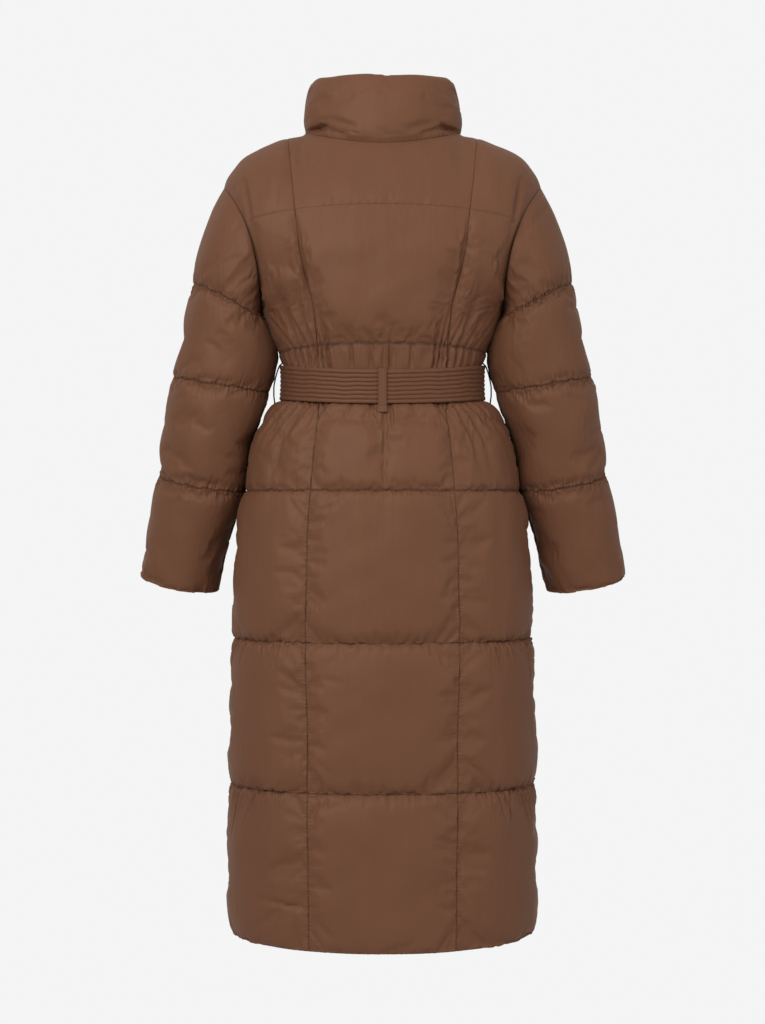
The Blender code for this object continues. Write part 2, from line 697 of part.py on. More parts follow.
def front_panels(material):
    v = ALL_LEVELS
    line = princess_s(v)
    one = np.ones_like(v)
    seam = PANEL_SEAM["depth"]
    lap_columns = [s_at(FRONT, x, v) for x in (-LAP, 0.0, LAP + LAP_STEP[0], LAP_SIDE)]
    plain = [line * k / CENTRE_COLUMNS for k in (*FRONT_NECK_COLUMNS, CENTRE_COLUMNS)]
    plain += [line + (one - line) * k / SIDE_COLUMNS for k in range(2, SIDE_COLUMNS + 1, 2)]
    under_depth = WALL - LAP_LAYER
    over_depth = under_depth - LAP_GAP

    s_left = np.stack(lap_columns + plain, axis=1)
    v_left = np.repeat(v[:, None], s_left.shape[1], axis=1)

    def left_outer(points, depth):
        lapped = points[..., 0] < LAP + LAP_STEP[2]
        return np.where(lapped, under_depth, depth)

    edge = SEAM_GAP / 2
    kept = [0, 1, 2, 3, 5, 7, 8, 9, 11, 13, 15]
    body_panel("front_left", FRONT, s_left, v_left, (0.0, seam), material, outer_depth=left_outer,
               kept=kept, gaps=((edge, TURNED_SEAM_GAP), (0.0, edge)))

    lap_right = [s_at(FRONT, x, v) for x in (LAP, 0.0, -LAP - LAP_STEP[1], -LAP_SIDE)]
    s_right = np.stack(lap_right + [-column for column in plain], axis=1)[:, ::-1]

    def right_outer(points, depth):
        return np.maximum(depth, FRONT_EDGE_DEPTH * valley(points[..., 0] - LAP, FRONT_EDGE_REACH))

    def right_inner(points):
        return np.where(points[..., 0] > -LAP - LAP_STEP[2], over_depth, WALL)

    last = s_right.shape[1] - 1
    body_panel("front_right", FRONT, s_right, v_left, (seam, 0.0), material, outer_depth=right_outer,
               inner_depth=right_inner, kept=sorted(last - k for k in kept),
               gaps=((edge, TURNED_SEAM_GAP), (edge, 0.0)))


# ---- sleeves


def sleeve_point(turn, t):
    """turn: 0 at the outer line of the sleeve, pi at the underarm line, positive round the back."""
    turn, t = np.broadcast_arrays(np.asarray(turn, float), np.asarray(t, float))
    at = {name: smooth(SLEEVE["t"], SLEEVE[name], t) for name in SLEEVE if name != "t"}
    tilt, lean = np.radians(at["tilt"]), np.radians(at["lean"])
    zero = np.zeros_like(tilt)
    out = np.stack([np.cos(tilt), zero, np.sin(tilt)], axis=-1)
    back = np.stack([zero, np.cos(lean), -np.sin(lean)], axis=-1)
    middle = np.stack([at["x"], at["y"], at["z"]], axis=-1)
    reach_out = (at["half_width"] * np.cos(turn))[..., None] * out
    reach_back = (at["half_depth"] * np.sin(turn))[..., None] * back
    return middle + reach_out + reach_back


def armhole_ring(turn):
    """The armhole seam at the same turn, from the body's envelope."""
    level = UNDERARM * np.abs(turn) / math.pi
    return np.where((turn > 0)[..., None], armhole_point(BACK, level), armhole_point(FRONT, level))


def sleeve_surface(turn, t):
    turn, t = np.broadcast_arrays(np.asarray(turn, float), np.asarray(t, float))
    wrapped = (turn + math.pi) % (2 * math.pi) - math.pi
    miss = armhole_ring(wrapped) - sleeve_point(turn, np.zeros_like(t))
    return sleeve_point(turn, t) + miss * (1 - ease(t / ARMHOLE_BLEND))[..., None]


def sleeve_normal(turn, t):
    step = 1e-3
    start = np.clip(t - step, 0, SLEEVE["t"][-1] - 2 * step)
    down = sleeve_surface(turn, start + 2 * step) - sleeve_surface(turn, start)
    around = sleeve_surface(turn + step, t) - sleeve_surface(turn - step, t)
    return unit(np.cross(down, around))


def sleeve_turns():
    """One column for each level of the armhole's edge, so that the seam's two edges match."""
    rows = [v for v in ALL_LEVELS if v > UNDERARM - 1e-9 and v not in LEVELS_NOT_ON_SLEEVE]
    back = [math.pi * v / UNDERARM for v in rows]
    front = [-turn for turn in back[1:-1]]
    return np.array(back[::-1] + front)


def sleeve(name, side, material):
    turns = sleeve_turns()
    t = np.repeat(np.array(SLEEVE_LEVELS)[:, None], len(turns), axis=1)
    turn = np.repeat(turns[None, :], len(SLEEVE_LEVELS), axis=0)
    points = sleeve_surface(turn, t)
    direction = sleeve_normal(turn, t)
    level = UNDERARM * np.abs(turn) / math.pi
    face = np.where(turn > 0, 1.0, -1.0)[..., None]
    seam_way = np.where(face > 0, armhole_direction(BACK, level), armhole_direction(FRONT, level))
    share = armhole_share(level)[..., None]
    mixed = unit(direction * (1 - share) + seam_way * share)
    direction = np.where((t < 1e-9)[..., None], mixed, direction)
    depth = row_depth(SLEEVE_ROWS, t)
    pulls = pull_depth(SLEEVE_ROWS["t"][1:-1], turn * SLEEVE_RADIUS + PULL_SHIFT, t)
    depth = np.minimum((depth**3 + pulls**3) ** (1 / 3), SLEEVE_WALL - THINNEST)
    at_seam = t < 1e-9
    depth = np.where(at_seam, depth * armhole_share(level), depth)
    outer = points - direction * depth[..., None]
    thick = ARMHOLE_WALL + (SLEEVE_WALL - ARMHOLE_WALL) * ease(t / SLEEVE_ROWS["below"][0])
    inner = points - direction * thick[..., None]
    gaps = (TURNED_SEAM_GAP, 0)
    outer, inner = draw_in(outer, rows=gaps), draw_in(inner, rows=gaps)
    for grid in (outer, inner):
        grid[..., 0] *= side
    rows_kept = sorted({1, len(t) - 1} | set(range(0, len(t), 3)))
    return wall(name, outer, inner, rows_kept, range(len(turns)), material, closed=True, flip=side == LEFT)


# ---- collar


def neck_ring():
    """The neck seam once round, from just left of the centre front over the back to just right of it, at the
    columns of the body: face, s and whether the body's inner skin has a point there too."""
    step = NECK_CORNER / FRONT_NECK_COLUMNS[-1]
    level = np.array([0.0])
    front = [(s_at(FRONT, COLLAR_OPENING / 2, level)[0], True), (s_at(FRONT, LAP_SIDE, level)[0], True)]
    front += [(step * k, k not in INNER_SKIPS) for k in FRONT_NECK_COLUMNS]
    back = [(step * k, k % 2 == 0) for k in range(9, -10, -1)]
    places = [(FRONT, s, on_both) for s, on_both in front] + [(BACK, s, on_both) for s, on_both in back]
    places += [(FRONT, -s, on_both) for s, on_both in front[::-1]]
    return places


def onto_chords(points, seams, on_both):
    """Moves each point with no partner on the inner skin onto the straight line between its neighbours."""
    points = points.copy()
    for k in np.flatnonzero(~np.array(on_both)):
        before, after = np.linalg.norm(seams[k] - seams[k - 1]), np.linalg.norm(seams[k + 1] - seams[k])
        points[k] = points[k - 1] + (points[k + 1] - points[k - 1]) * before / (before + after)
    return points


def collar(material):
    ring = neck_ring()
    sections, seams = [], []
    for face, s, _ in ring:
        base = top_point(face, np.array(s))
        turn = abs(s) / NECK_CORNER * math.pi / 2
        height = COLLAR_SIDE_HEIGHT + (COLLAR_HEIGHT[face] - COLLAR_SIDE_HEIGHT) * math.cos(turn) ** 2
        depth = CENTRE["back_y"][-1] if face == BACK else CENTRE["front_y"][-1]
        away = np.array([np.sin(turn) / NECK_HALF_WIDTH * np.sign(s), face * np.cos(turn) / depth, 0.0])
        away = unit(away)
        rows = [base + away * out + np.array([0, 0, COLLAR_GAP + height * up])
                for out, up in zip(COLLAR_SECTION["out"], COLLAR_SECTION["up"])]
        into = shared_normals(face, np.array([s]), np.zeros(1))[0]
        just_below, at_seam = body_point(face, s, np.array([-COLLAR_GAP, 0.0]))
        seat = base + unit(at_seam - just_below) * COLLAR_GAP
        rows = [seat - into * PANEL_SEAM["depth"]] + rows + [seat - into * WALL]
        sections.append(rows)
        seams.append(base)
    sections = np.array(sections)
    sections[:, -1] = onto_chords(sections[:, -1], seams, [on_both for *_, on_both in ring])
    mesh = Mesh()
    index = mesh.add(sections).reshape(sections.shape[:2])
    mesh.grid(index, flip=True)
    first, last = list(index[:, 0]), list(index[:, -1])
    for k, (*_, on_both) in enumerate(ring[:-1]):
        a, b, c, d = first[k], last[k], last[k + 1], first[k + 1]
        mesh.faces += [[a, b, d], [b, c, d]] if on_both else [[a, b, c], [a, c, d]]
    size = index.shape[1]
    for end, turned in ((index[0], False), (index[-1], True)):
        for k in range(size // 2 - 1):
            quad = [end[k], end[k + 1], end[size - 2 - k], end[size - 1 - k]]
            mesh.faces.append(quad[::-1] if turned else quad)
    return mesh.to_object("collar", material)


# ---- belt


def around_waist(q, v):
    """Point and outward direction: q is 0 at the centre back, 1 at the left side and 2 at the front."""
    size = abs(q)
    face = BACK if size <= 1 else FRONT
    s = math.copysign(size if size <= 1 else 2 - size, q)
    return body_point(face, s, v), body_normal(face, s, v)


def belt(material):
    columns = np.linspace(-2 + BELT_END, 2 - BELT_END, BELT_COLUMNS + 1)
    lines = np.linspace(BELT_BOTTOM + 0.0004, BELT_TOP - 0.0004, 2 * BELT_CHANNELS + 1)
    outer = np.zeros((len(lines), len(columns), 3))
    inner = np.zeros_like(outer)
    for j, q in enumerate(columns):
        for i, v in enumerate(lines):
            point, out = around_waist(q, v)
            out = unit(out * np.array([1, 1, 0]))
            outer[i, j] = point + out * (BELT_CROWN if i % 2 else BELT_VALLEY)
            inner[i, j] = point + out * BELT_CLEARANCE
    rows = [0, len(lines) // 2, len(lines) - 1]
    return wall("belt", outer, inner, rows, range(len(columns)), material, flip=True)


def belt_knot(material):
    """A cube with its corners smoothed away: the smoothing shrinks it, so it starts larger."""
    waist, _ = around_waist(1.9999, (BELT_TOP + BELT_BOTTOM) / 2)
    bpy.ops.mesh.primitive_cube_add(size=1)
    knot = bpy.context.object
    mesh = knot.data
    for vertex in mesh.vertices:
        vertex.co = [a * b * c for a, b, c in zip(vertex.co, KNOT_SIZE, KNOT_SHRINKS)]
    knot.name = mesh.name = "belt_knot"
    y = waist[1] - BELT_CROWN - SEAM_GAP - KNOT_SIZE[1] / 2
    knot.location = (0.0, y + KNOT_SEAT, waist[2])
    mesh.materials.append(material)
    mesh.shade_smooth()
    round_off = knot.modifiers.new("round off", "SUBSURF")
    round_off.levels = round_off.render_levels = 2
    for collection in knot.users_collection:
        collection.objects.unlink(knot)
    COAT.objects.link(knot)


def belt_tail(name, side, x_top, x_bottom, v_bottom, material):
    v = TAIL_TOP + (v_bottom - TAIL_TOP) * np.linspace(1, 0, TAIL_ROWS + 1) ** 1.5
    fall = ease((TAIL_TOP - v) / TAIL_FALL["reach"])
    middle = x_top + (x_bottom - x_top) * np.sqrt((v - TAIL_TOP) / (v_bottom - TAIL_TOP))
    width = TAIL_WIDTH * (TAIL_NECK + (1 - TAIL_NECK) * fall)
    steps = np.linspace(-0.5, 0.5, TAIL_COLUMNS + 1)
    outer, inner = [], []
    for x, level, across, down in zip(middle, v, width, fall):
        levels_here = np.full_like(steps, level)
        s = s_at(FRONT, x + steps * across, levels_here)
        point = body_point(FRONT, s, levels_here)
        out = unit(body_normal(FRONT, s, levels_here) * np.array([1, 1, 0]))
        clear = TAIL_CLEARANCE + TAIL_FALL["out"] * (1 - down)
        inner.append(point + out * clear)
        outer.append(point + out * (clear + TAIL_THICKNESS))
    outer, inner = np.array(outer), np.array(inner)
    return wall(name, outer, inner, range(len(v)), range(len(steps)), material)


def belt_loop(material):
    v = LOOP_PATH["v"]
    half = s_at(BACK, LOOP_WIDTH / 2, np.array([(BELT_TOP + BELT_BOTTOM) / 2]))[0]
    s = np.linspace(-half, half, 4)[None, :] * np.ones((len(v), 1))
    level = np.repeat(v[:, None], 4, axis=1)
    point = body_point(BACK, s, level)
    out = unit(body_normal(BACK, s, level) * np.array([1, 1, 0]))
    inner = point + out * LOOP_PATH["out"][:, None, None]
    outer = inner + out * LOOP_THICKNESS
    return wall("belt_loop_back", outer[::-1], inner[::-1], range(len(v)), range(4), material, flip=True)


def thread_loop(name, side, material):
    curve = bpy.data.curves.new(name, "CURVE")
    curve.dimensions = "3D"
    curve.bevel_depth = THREAD_RADIUS
    curve.bevel_resolution = 1
    curve.use_fill_caps = True
    steps = THREAD_STEPS
    places = np.linspace(0, 1, len(THREAD_ROUTE["x"]))
    along = np.linspace(0, 1, steps + 1)
    x, z = smooth(places, THREAD_ROUTE["x"], along), smooth(places, THREAD_ROUTE["z"], along)
    line = curve.splines.new("POLY")
    line.points.add(steps)
    for point, px, pz in zip(line.points, x, z):
        point.co = (side * px, 0.0, pz, 1.0)
    curve.materials.append(material)
    obj = bpy.data.objects.new(name, curve)
    COAT.objects.link(obj)
    return obj


# ---- materials and the whole coat


def material(name, colour, roughness):
    made = bpy.data.materials.new(name)
    made.use_nodes = True
    shader = made.node_tree.nodes["Principled BSDF"]
    shader.inputs["Base Color"].default_value = (*colour, 1.0)
    shader.inputs["Roughness"].default_value = roughness
    shader.inputs["Metallic"].default_value = 0.0
    return made


def build():
    for obj in list(bpy.data.objects):
        bpy.data.objects.remove(obj)
    bpy.context.scene.collection.children.link(COAT)
    shell = material("shell_cloth", (0.155, 0.072, 0.040), 0.55)
    belt_cloth = material("belt_cloth", (0.145, 0.066, 0.037), 0.60)
    thread = material("loop_thread", (0.020, 0.012, 0.010), 0.80)
    back_panels(shell)
    front_panels(shell)
    for side, name in ((LEFT, "left"), (RIGHT, "right")):
        sleeve("sleeve_" + name, side, shell)
        thread_loop("thread_loop_" + name, side, thread)
    collar(shell)
    belt(belt_cloth)
    belt_knot(belt_cloth)
    belt_loop(belt_cloth)
    for name, row in zip(("belt_tail_left", "belt_tail_right"), zip(*(TAILS[key] for key in TAILS))):
        belt_tail(name, *row, belt_cloth)


COAT = bpy.data.collections.new("long_puffer_coat")
build()
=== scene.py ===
# %% [markdown]
# # A long quilted puffer coat
# The coat is padded with down, so it holds its own round shape even with nobody inside it. It was cut as
# flat pieces: a back of three upright panels under a yoke, two fronts, two sleeves and a stand collar.
# Sewn rows cross every piece and keep the down from sliding to the hem.
#
# The measured solid of each cut piece is loaded first. Each piece is then made again with a much finer
# skin that has the puckers, gathers and stitches.

# %% Load the measured pieces
import time

import json
import math

import bpy
import numpy as np
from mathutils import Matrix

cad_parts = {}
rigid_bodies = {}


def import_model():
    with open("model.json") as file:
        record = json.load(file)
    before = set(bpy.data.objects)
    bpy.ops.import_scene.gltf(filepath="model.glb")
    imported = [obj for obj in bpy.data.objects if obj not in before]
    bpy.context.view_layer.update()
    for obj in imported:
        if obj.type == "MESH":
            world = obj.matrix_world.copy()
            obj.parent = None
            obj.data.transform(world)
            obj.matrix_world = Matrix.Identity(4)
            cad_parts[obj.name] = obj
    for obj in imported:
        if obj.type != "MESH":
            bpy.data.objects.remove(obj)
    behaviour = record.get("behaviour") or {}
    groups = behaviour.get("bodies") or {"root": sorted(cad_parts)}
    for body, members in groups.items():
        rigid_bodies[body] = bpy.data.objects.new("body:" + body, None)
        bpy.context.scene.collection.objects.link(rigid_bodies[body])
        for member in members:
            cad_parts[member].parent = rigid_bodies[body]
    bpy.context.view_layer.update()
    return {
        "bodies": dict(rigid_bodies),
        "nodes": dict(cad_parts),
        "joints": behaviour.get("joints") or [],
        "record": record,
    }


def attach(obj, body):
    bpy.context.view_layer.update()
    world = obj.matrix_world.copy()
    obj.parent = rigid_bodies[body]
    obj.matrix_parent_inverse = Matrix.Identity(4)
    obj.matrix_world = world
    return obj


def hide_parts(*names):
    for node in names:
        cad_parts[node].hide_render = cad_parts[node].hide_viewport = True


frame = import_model()
print("measured pieces:", len(frame["nodes"]))

# %% [markdown]
# ## Sizes
# A garment maker works from a size chart. Ours is a set of short tables in metres, each with named columns.
# Z is up, the wearer faces -Y, and the zero point is the middle of the neck opening. `BODY` has the shape of
# the body at each height, `PRINCESS` the line of the long back seams and `ROWS` the quilt rows.


# %% The size chart
def table(columns, rows):
    """A small table as a dictionary of named columns. Its rows are lines of text or tuples."""
    if isinstance(rows, str):
        rows = [[float(word) for word in line.split()] for line in rows.strip().splitlines()]
    return dict(zip(columns.split(), map(np.array, zip(*rows))))


BACK, FRONT = 1, -1
LEFT, RIGHT = 1, -1
HEM, ROW_4, ROW_3, HIP_ROW = -1.191, -0.9675, -0.7515, -0.5325
BELT_BOTTOM, BELT_TOP, WAIST_ROW = -0.3985, -0.3465, -0.330
UNDERARM, YOKE = -0.262, -0.105
WALL, SLEEVE_WALL, ARMHOLE_WALL, THINNEST = 0.0125, 0.011, 0.0085, 0.003
SEAM_GAP, TURNED_SEAM_GAP = 0.0003, 0.0005
OVAL = 2.3  # 2 is an ellipse, and more is squarer
BODY = table("z half_width back_depth front_depth rise", """
-1.191 0.2285 0.166 0.158 0
-1.1 0.231 0.166 0.158 0
-0.9675 0.231 0.164 0.157 0
-0.86 0.229 0.162 0.156 0
-0.7515 0.226 0.16 0.155 0
-0.657 0.222 0.158 0.152 0
-0.5925 0.218 0.156 0.149 0
-0.546 0.2105 0.154 0.147 0
-0.5145 0.203 0.151 0.145 0
-0.459 0.1925 0.144 0.14 0
-0.4305 0.181 0.138 0.135 -0.004
-0.404 0.1615 0.131 0.127 -0.008
-0.399 0.15 0.124 0.119 -0.0095
-0.373 0.1483 0.1235 0.118 -0.0105
-0.3465 0.1492 0.124 0.118 -0.0115
-0.33 0.157 0.129 0.122 0.0095
-0.306 0.164 0.134 0.127 0.006
-0.262 0.18 0.14 0.134 0""")
BACK_NECK_Z, FRONT_NECK_Z = -0.0245, -0.075
CENTRE = table("v back_y front_y", """
-0.262 0.14 0.134
-0.183 0.139 0.134
-0.105 0.13 0.128
-0.052 0.113 0.115
0 0.088 0.095""")
NECK_HALF_WIDTH = 0.1185
NECK_CORNER = 0.5172  # the s where neck and shoulder seam meet
SHOULDER = table("x z", """
0.1185 0
0.1425 -0.0075
0.1635 -0.015
0.183 -0.0225
0.2085 -0.0375
0.222 -0.0525
0.2325 -0.0675
0.2375 -0.079""")
SHOULDER_TIP_X, SHOULDER_TIP_Z = 0.2375, -0.079
UNDERARM_X = 0.180
ARMHOLE_HALF_DEPTH = {BACK: 0.095, FRONT: 0.088}
ARMHOLE_CURVE = 2.4
UNDERARM_SHARE = 0.35
PRINCESS = table("v x", """
-1.191 0.106
-1.09 0.107
-0.96 0.109
-0.906 0.108
-0.752 0.112
-0.66 0.11
-0.6 0.109
-0.531 0.1045
-0.463 0.099
-0.406 0.094
-0.372 0.0955
-0.315 0.0985
-0.262 0.105
-0.19 0.117
-0.15 0.1225
-0.105 0.127
0 0.144""")
ROWS = table("v depth above below", [
    (HEM, 0.0060, 0.035, 0.035), (ROW_4, 0.0090, 0.060, 0.075), (ROW_3, 0.0090, 0.060, 0.075),
    (HIP_ROW, 0.0070, 0.045, 0.050), (WAIST_ROW, 0.0080, 0.045, 0.012), (YOKE, 0.0045, 0.020, 0.030),
])
PANEL_SEAM = {"depth": 0.0042, "reach": 0.022}
FRONT_EDGE_DEPTH, FRONT_EDGE_REACH = 0.0042, 0.018
BELT_PRESS = 0.0012
BODY_QUARTER = 0.33
WAIST_QUARTER = 0.225
print("from neck to hem:", round(BACK_NECK_Z - HEM, 3), "m")

# %% [markdown]
# ## The envelope
# Think of a smooth bag stretched over the fullest points of the padding. Every panel is a patch of that bag.
# A place on it is given by three numbers: the face (back or front), `s` (0 at the centre, 1 at the side seam
# or armhole) and the level `v`. Because the panels share one formula, neighbours always meet at their seams.


# %% The envelope as a formula
def smooth(xs, ys, x):
    """Monotone cubic through the points (xs, ys), so that no section overshoots its neighbours."""
    order = np.argsort(xs)
    xs, ys = np.asarray(xs, float)[order], np.asarray(ys, float)[order]
    gap = np.diff(xs)
    slope = np.diff(ys) / gap
    tangent = np.zeros_like(ys)
    tangent[0], tangent[-1] = slope[0], slope[-1]
    for k in range(1, len(xs) - 1):
        if slope[k - 1] * slope[k] > 0:
            before, after = 2 * gap[k] + gap[k - 1], gap[k] + 2 * gap[k - 1]
            tangent[k] = (before + after) / (before / slope[k - 1] + after / slope[k])
    x = np.clip(x, xs[0], xs[-1])
    k = np.clip(np.searchsorted(xs, x) - 1, 0, len(gap) - 1)
    t = (x - xs[k]) / gap[k]
    start = ys[k] * (1 + 2 * t) * (1 - t) ** 2 + gap[k] * tangent[k] * t * (1 - t) ** 2
    return start + ys[k + 1] * t * t * (3 - 2 * t) + gap[k] * tangent[k + 1] * t * t * (t - 1)


def ease(x):
    """0 to 1 with flat ends."""
    x = np.clip(x, 0, 1)
    return x * x * (3 - 2 * x)


def unit(vectors):
    return vectors / np.linalg.norm(vectors, axis=-1, keepdims=True)


def joined(*parts):
    """One array of points, uvs or places from an array for each coordinate."""
    return np.stack(parts, axis=-1)


def oval(turn):
    """Sine and cosine, pushed out to a slightly squarish oval."""
    sine, cosine = np.sin(turn), np.cos(turn)
    push = (np.abs(sine) ** OVAL + np.abs(cosine) ** OVAL) ** (-1 / OVAL)
    return sine * push, cosine * push


def skirt_point(face, s, v):
    across, along = oval(s * math.pi / 2)
    width = smooth(BODY["z"], BODY["half_width"], v)
    depth = smooth(BODY["z"], BODY["back_depth" if face == BACK else "front_depth"], v)
    rise = smooth(BODY["z"], BODY["rise"], v) if face == BACK else 0.0
    return joined(width * across, face * depth * along, v + rise * along**2)


def armhole_point(face, v):
    """The armhole seam: underarm at v = UNDERARM, shoulder tip at v = 0."""
    turn = math.pi * v / UNDERARM
    half_height = (SHOULDER_TIP_Z - UNDERARM) / 2
    share = (1 + np.cos(turn)) / 2
    x = UNDERARM_X + (SHOULDER_TIP_X - UNDERARM_X) * share**ARMHOLE_CURVE
    y = face * ARMHOLE_HALF_DEPTH[face] * np.sin(turn)
    return joined(x, y, UNDERARM + 2 * half_height * share)


def chest_point(face, s, v):
    across, along = oval(s * math.pi / 2)
    edge = armhole_point(face, v)
    centre_y = face * smooth(CENTRE["v"], CENTRE["back_y" if face == BACK else "front_y"], v)
    top_z = BACK_NECK_Z if face == BACK else FRONT_NECK_Z
    centre_z = UNDERARM + (1 - v / UNDERARM) * (top_z - UNDERARM)
    x = edge[..., 0] * across
    y = edge[..., 1] + (centre_y - edge[..., 1]) * along
    z = edge[..., 2] + (centre_z - edge[..., 2]) * along**2
    return joined(x, y, z)


def top_point(face, s):
    """The neck seam up to NECK_CORNER, then the shoulder seam out to its tip."""
    size, side = np.abs(s), np.sign(s)
    turn = np.minimum(size / NECK_CORNER, 1) * math.pi / 2
    depth = face * (CENTRE["back_y"][-1] if face == BACK else CENTRE["front_y"][-1])
    drop = BACK_NECK_Z if face == BACK else FRONT_NECK_Z
    out = np.maximum(size - NECK_CORNER, 0) / (1 - NECK_CORNER)
    x = NECK_HALF_WIDTH * np.sin(turn) + (SHOULDER_TIP_X - NECK_HALF_WIDTH) * out
    z = np.where(size < NECK_CORNER, drop * np.cos(turn) ** 2, smooth(SHOULDER["x"], SHOULDER["z"], x))
    return joined(side * x, depth * np.cos(turn), z)


def yoke_point(face, s, v):
    """Above the yoke line, the surface bends over to the shoulder seam."""
    up = (v - YOKE) / (0 - YOKE)
    roll = ease((np.abs(s) / NECK_CORNER - 0.7) / 0.5)
    low, high = chest_point(face, s, np.full_like(v, YOKE)), top_point(face, s)
    bend = (1 - roll) * np.clip(up, 0, 2) ** 1.4 + roll * (1 - np.cos(up * math.pi / 2))
    climb = (1 - roll) * up + roll * np.sin(up * math.pi / 2)
    share = joined(up, bend, climb)
    return low + (high - low) * share


def body_point(face, s, v):
    s, v = np.broadcast_arrays(np.asarray(s, float), np.asarray(v, float))
    side = np.where(s < 0, -1.0, 1.0)
    size = np.abs(s)
    point = np.where((v < UNDERARM)[..., None], skirt_point(face, size, v), chest_point(face, size, v))
    above = yoke_point(face, size, v)
    edge_miss = armhole_point(face, v) - yoke_point(face, np.ones_like(v), v)
    above = above + edge_miss * (size**6)[..., None]
    point = np.where((v > YOKE)[..., None], above, point)
    point[..., 0] *= side
    return point


def body_normal(face, s, v):
    step_s, step_v = 1e-3, 1e-4
    s, v = np.broadcast_arrays(np.asarray(s, float), np.asarray(v, float))
    high = np.clip(v + step_v, HEM + 2 * step_v, 0)
    along_v = body_point(face, s, high) - body_point(face, s, high - 2 * step_v)
    along_s = body_point(face, s + step_s, v) - body_point(face, s - step_s, v)
    return unit(face * np.cross(along_v, along_s))


def s_at(face, x, v):
    """The s of the point that lies x from the centre at each level."""
    v = np.asarray(v, float)
    low, high = np.full_like(v, -1.0), np.full_like(v, 1.0)
    for _ in range(40):
        middle = (low + high) / 2
        under = body_point(face, middle, v)[..., 0] < x
        low, high = np.where(under, middle, low), np.where(under, high, middle)
    return (low + high) / 2


def princess_s(v):
    return s_at(BACK, smooth(PRINCESS["v"], PRINCESS["x"], v), v)


print("half width at the hem:", round(float(body_point(BACK, 1.0, HEM)[0]), 4), "m")

# %% [markdown]
# ## Folds
# Where thread pulls padded cloth down, the cloth between is too long and puckers. `trough` is one soft fold
# that starts on a stitch line and dies away from it, with low ridges on both sides as real folds have.
# `puckers` lays many of them along a line, no two the same, from a fixed seed so that each run gives the same
# coat.


# %% Folds and puckers
def valley(distance, reach):
    """1 at a stitch line, falling steeply and then gently to 0 at its reach."""
    share = np.clip(np.abs(distance) / reach, 0, 1)
    return 0.55 * (1 - share) ** 2 + 0.45 * np.exp(-share / 0.14) * (1 - share)


def trough(along, away, place, length, width, deep, slant):
    """Depth of one fold. along and away are measured from the stitch line, and the fold leans by slant."""
    share = np.clip(away / length, 0, 1)
    across = ((along - place - slant * away) / (width * (0.75 + 0.9 * share))) ** 2
    return deep * (1 - 0.55 * across) * np.exp(-across) * (1 - share) ** 1.3 * (away >= 0)


PUCKERS_END = 0.085  # no pucker runs further than this from its line


def puckers(along, away, strength, gap, seed, reach=(0.026, 0.062)):
    """Troughs above and below a stitch line, each with a low crest beside it. strength(place) scales them,
    gap is their mean distance, and reach is how far the longest run above and below the line."""
    depth = np.zeros_like(away)
    near = np.abs(away) < PUCKERS_END
    if not near.any():
        return depth
    low, high = along[near].min() - gap, along[near].max() + gap
    place = math.floor(low / gap) * gap
    rng = np.random.default_rng(seed + int(abs(place / gap)))
    while place < high:
        place += gap * rng.uniform(0.55, 1.45)
        for side, far in ((1, reach[0]), (-1, reach[1])):
            size = float(strength(place)) * rng.uniform(0.30, 1.0) ** 1.3
            length = 0.008 + far * size * rng.uniform(0.55, 1.25)
            width = gap * rng.uniform(0.17, 0.27)
            slant = rng.normal(0.0, 0.16) + 0.30 * np.sign(place) * min(abs(place) / 0.2, 1)
            over, beyond = along[near], side * away[near]
            crest = place + rng.choice((-1.7, 1.7)) * width
            depth[near] += trough(over, beyond, place, length, width, 0.0042 * size, slant)
            depth[near] -= trough(over, beyond, crest, length, 0.8 * width, 0.0022 * size, slant)
    return depth


def wander(along, size, seed):
    """How far a sewn line strays from its mark, as puckered cloth draws it up and down."""
    return size * (0.55 * np.sin(along * 203 + seed) + 0.3 * np.sin(along * 461 + 2.1 * seed)
                   + 0.25 * np.sin(along * 88 + 3.7 * seed))


def loft(across, down, size, seed):
    """The down's own soft unevenness: a few long waves in different directions."""
    rng = np.random.default_rng(seed)
    total = np.zeros_like(down)
    for _ in range(9):
        turn, length = rng.uniform(0, math.pi), rng.uniform(0.035, 0.12)
        wave = across * math.cos(turn) + down * math.sin(turn)
        total += np.sin(wave * 2 * math.pi / length + rng.uniform(0, 6.28)) * (length / 0.12)
    return size * total / 3


print("deepest point of one fold:", float(trough(np.zeros(1), np.zeros(1), 0.0, 0.03, 0.003, 0.003, 0.0)[0]))

# %% [markdown]
# ## Gathers at the waist
# The belt and the row above it draw in the wide back. The cloth escapes as sharp upright folds that fan out
# above and below. They are strongest over the long seams, where four layers meet.


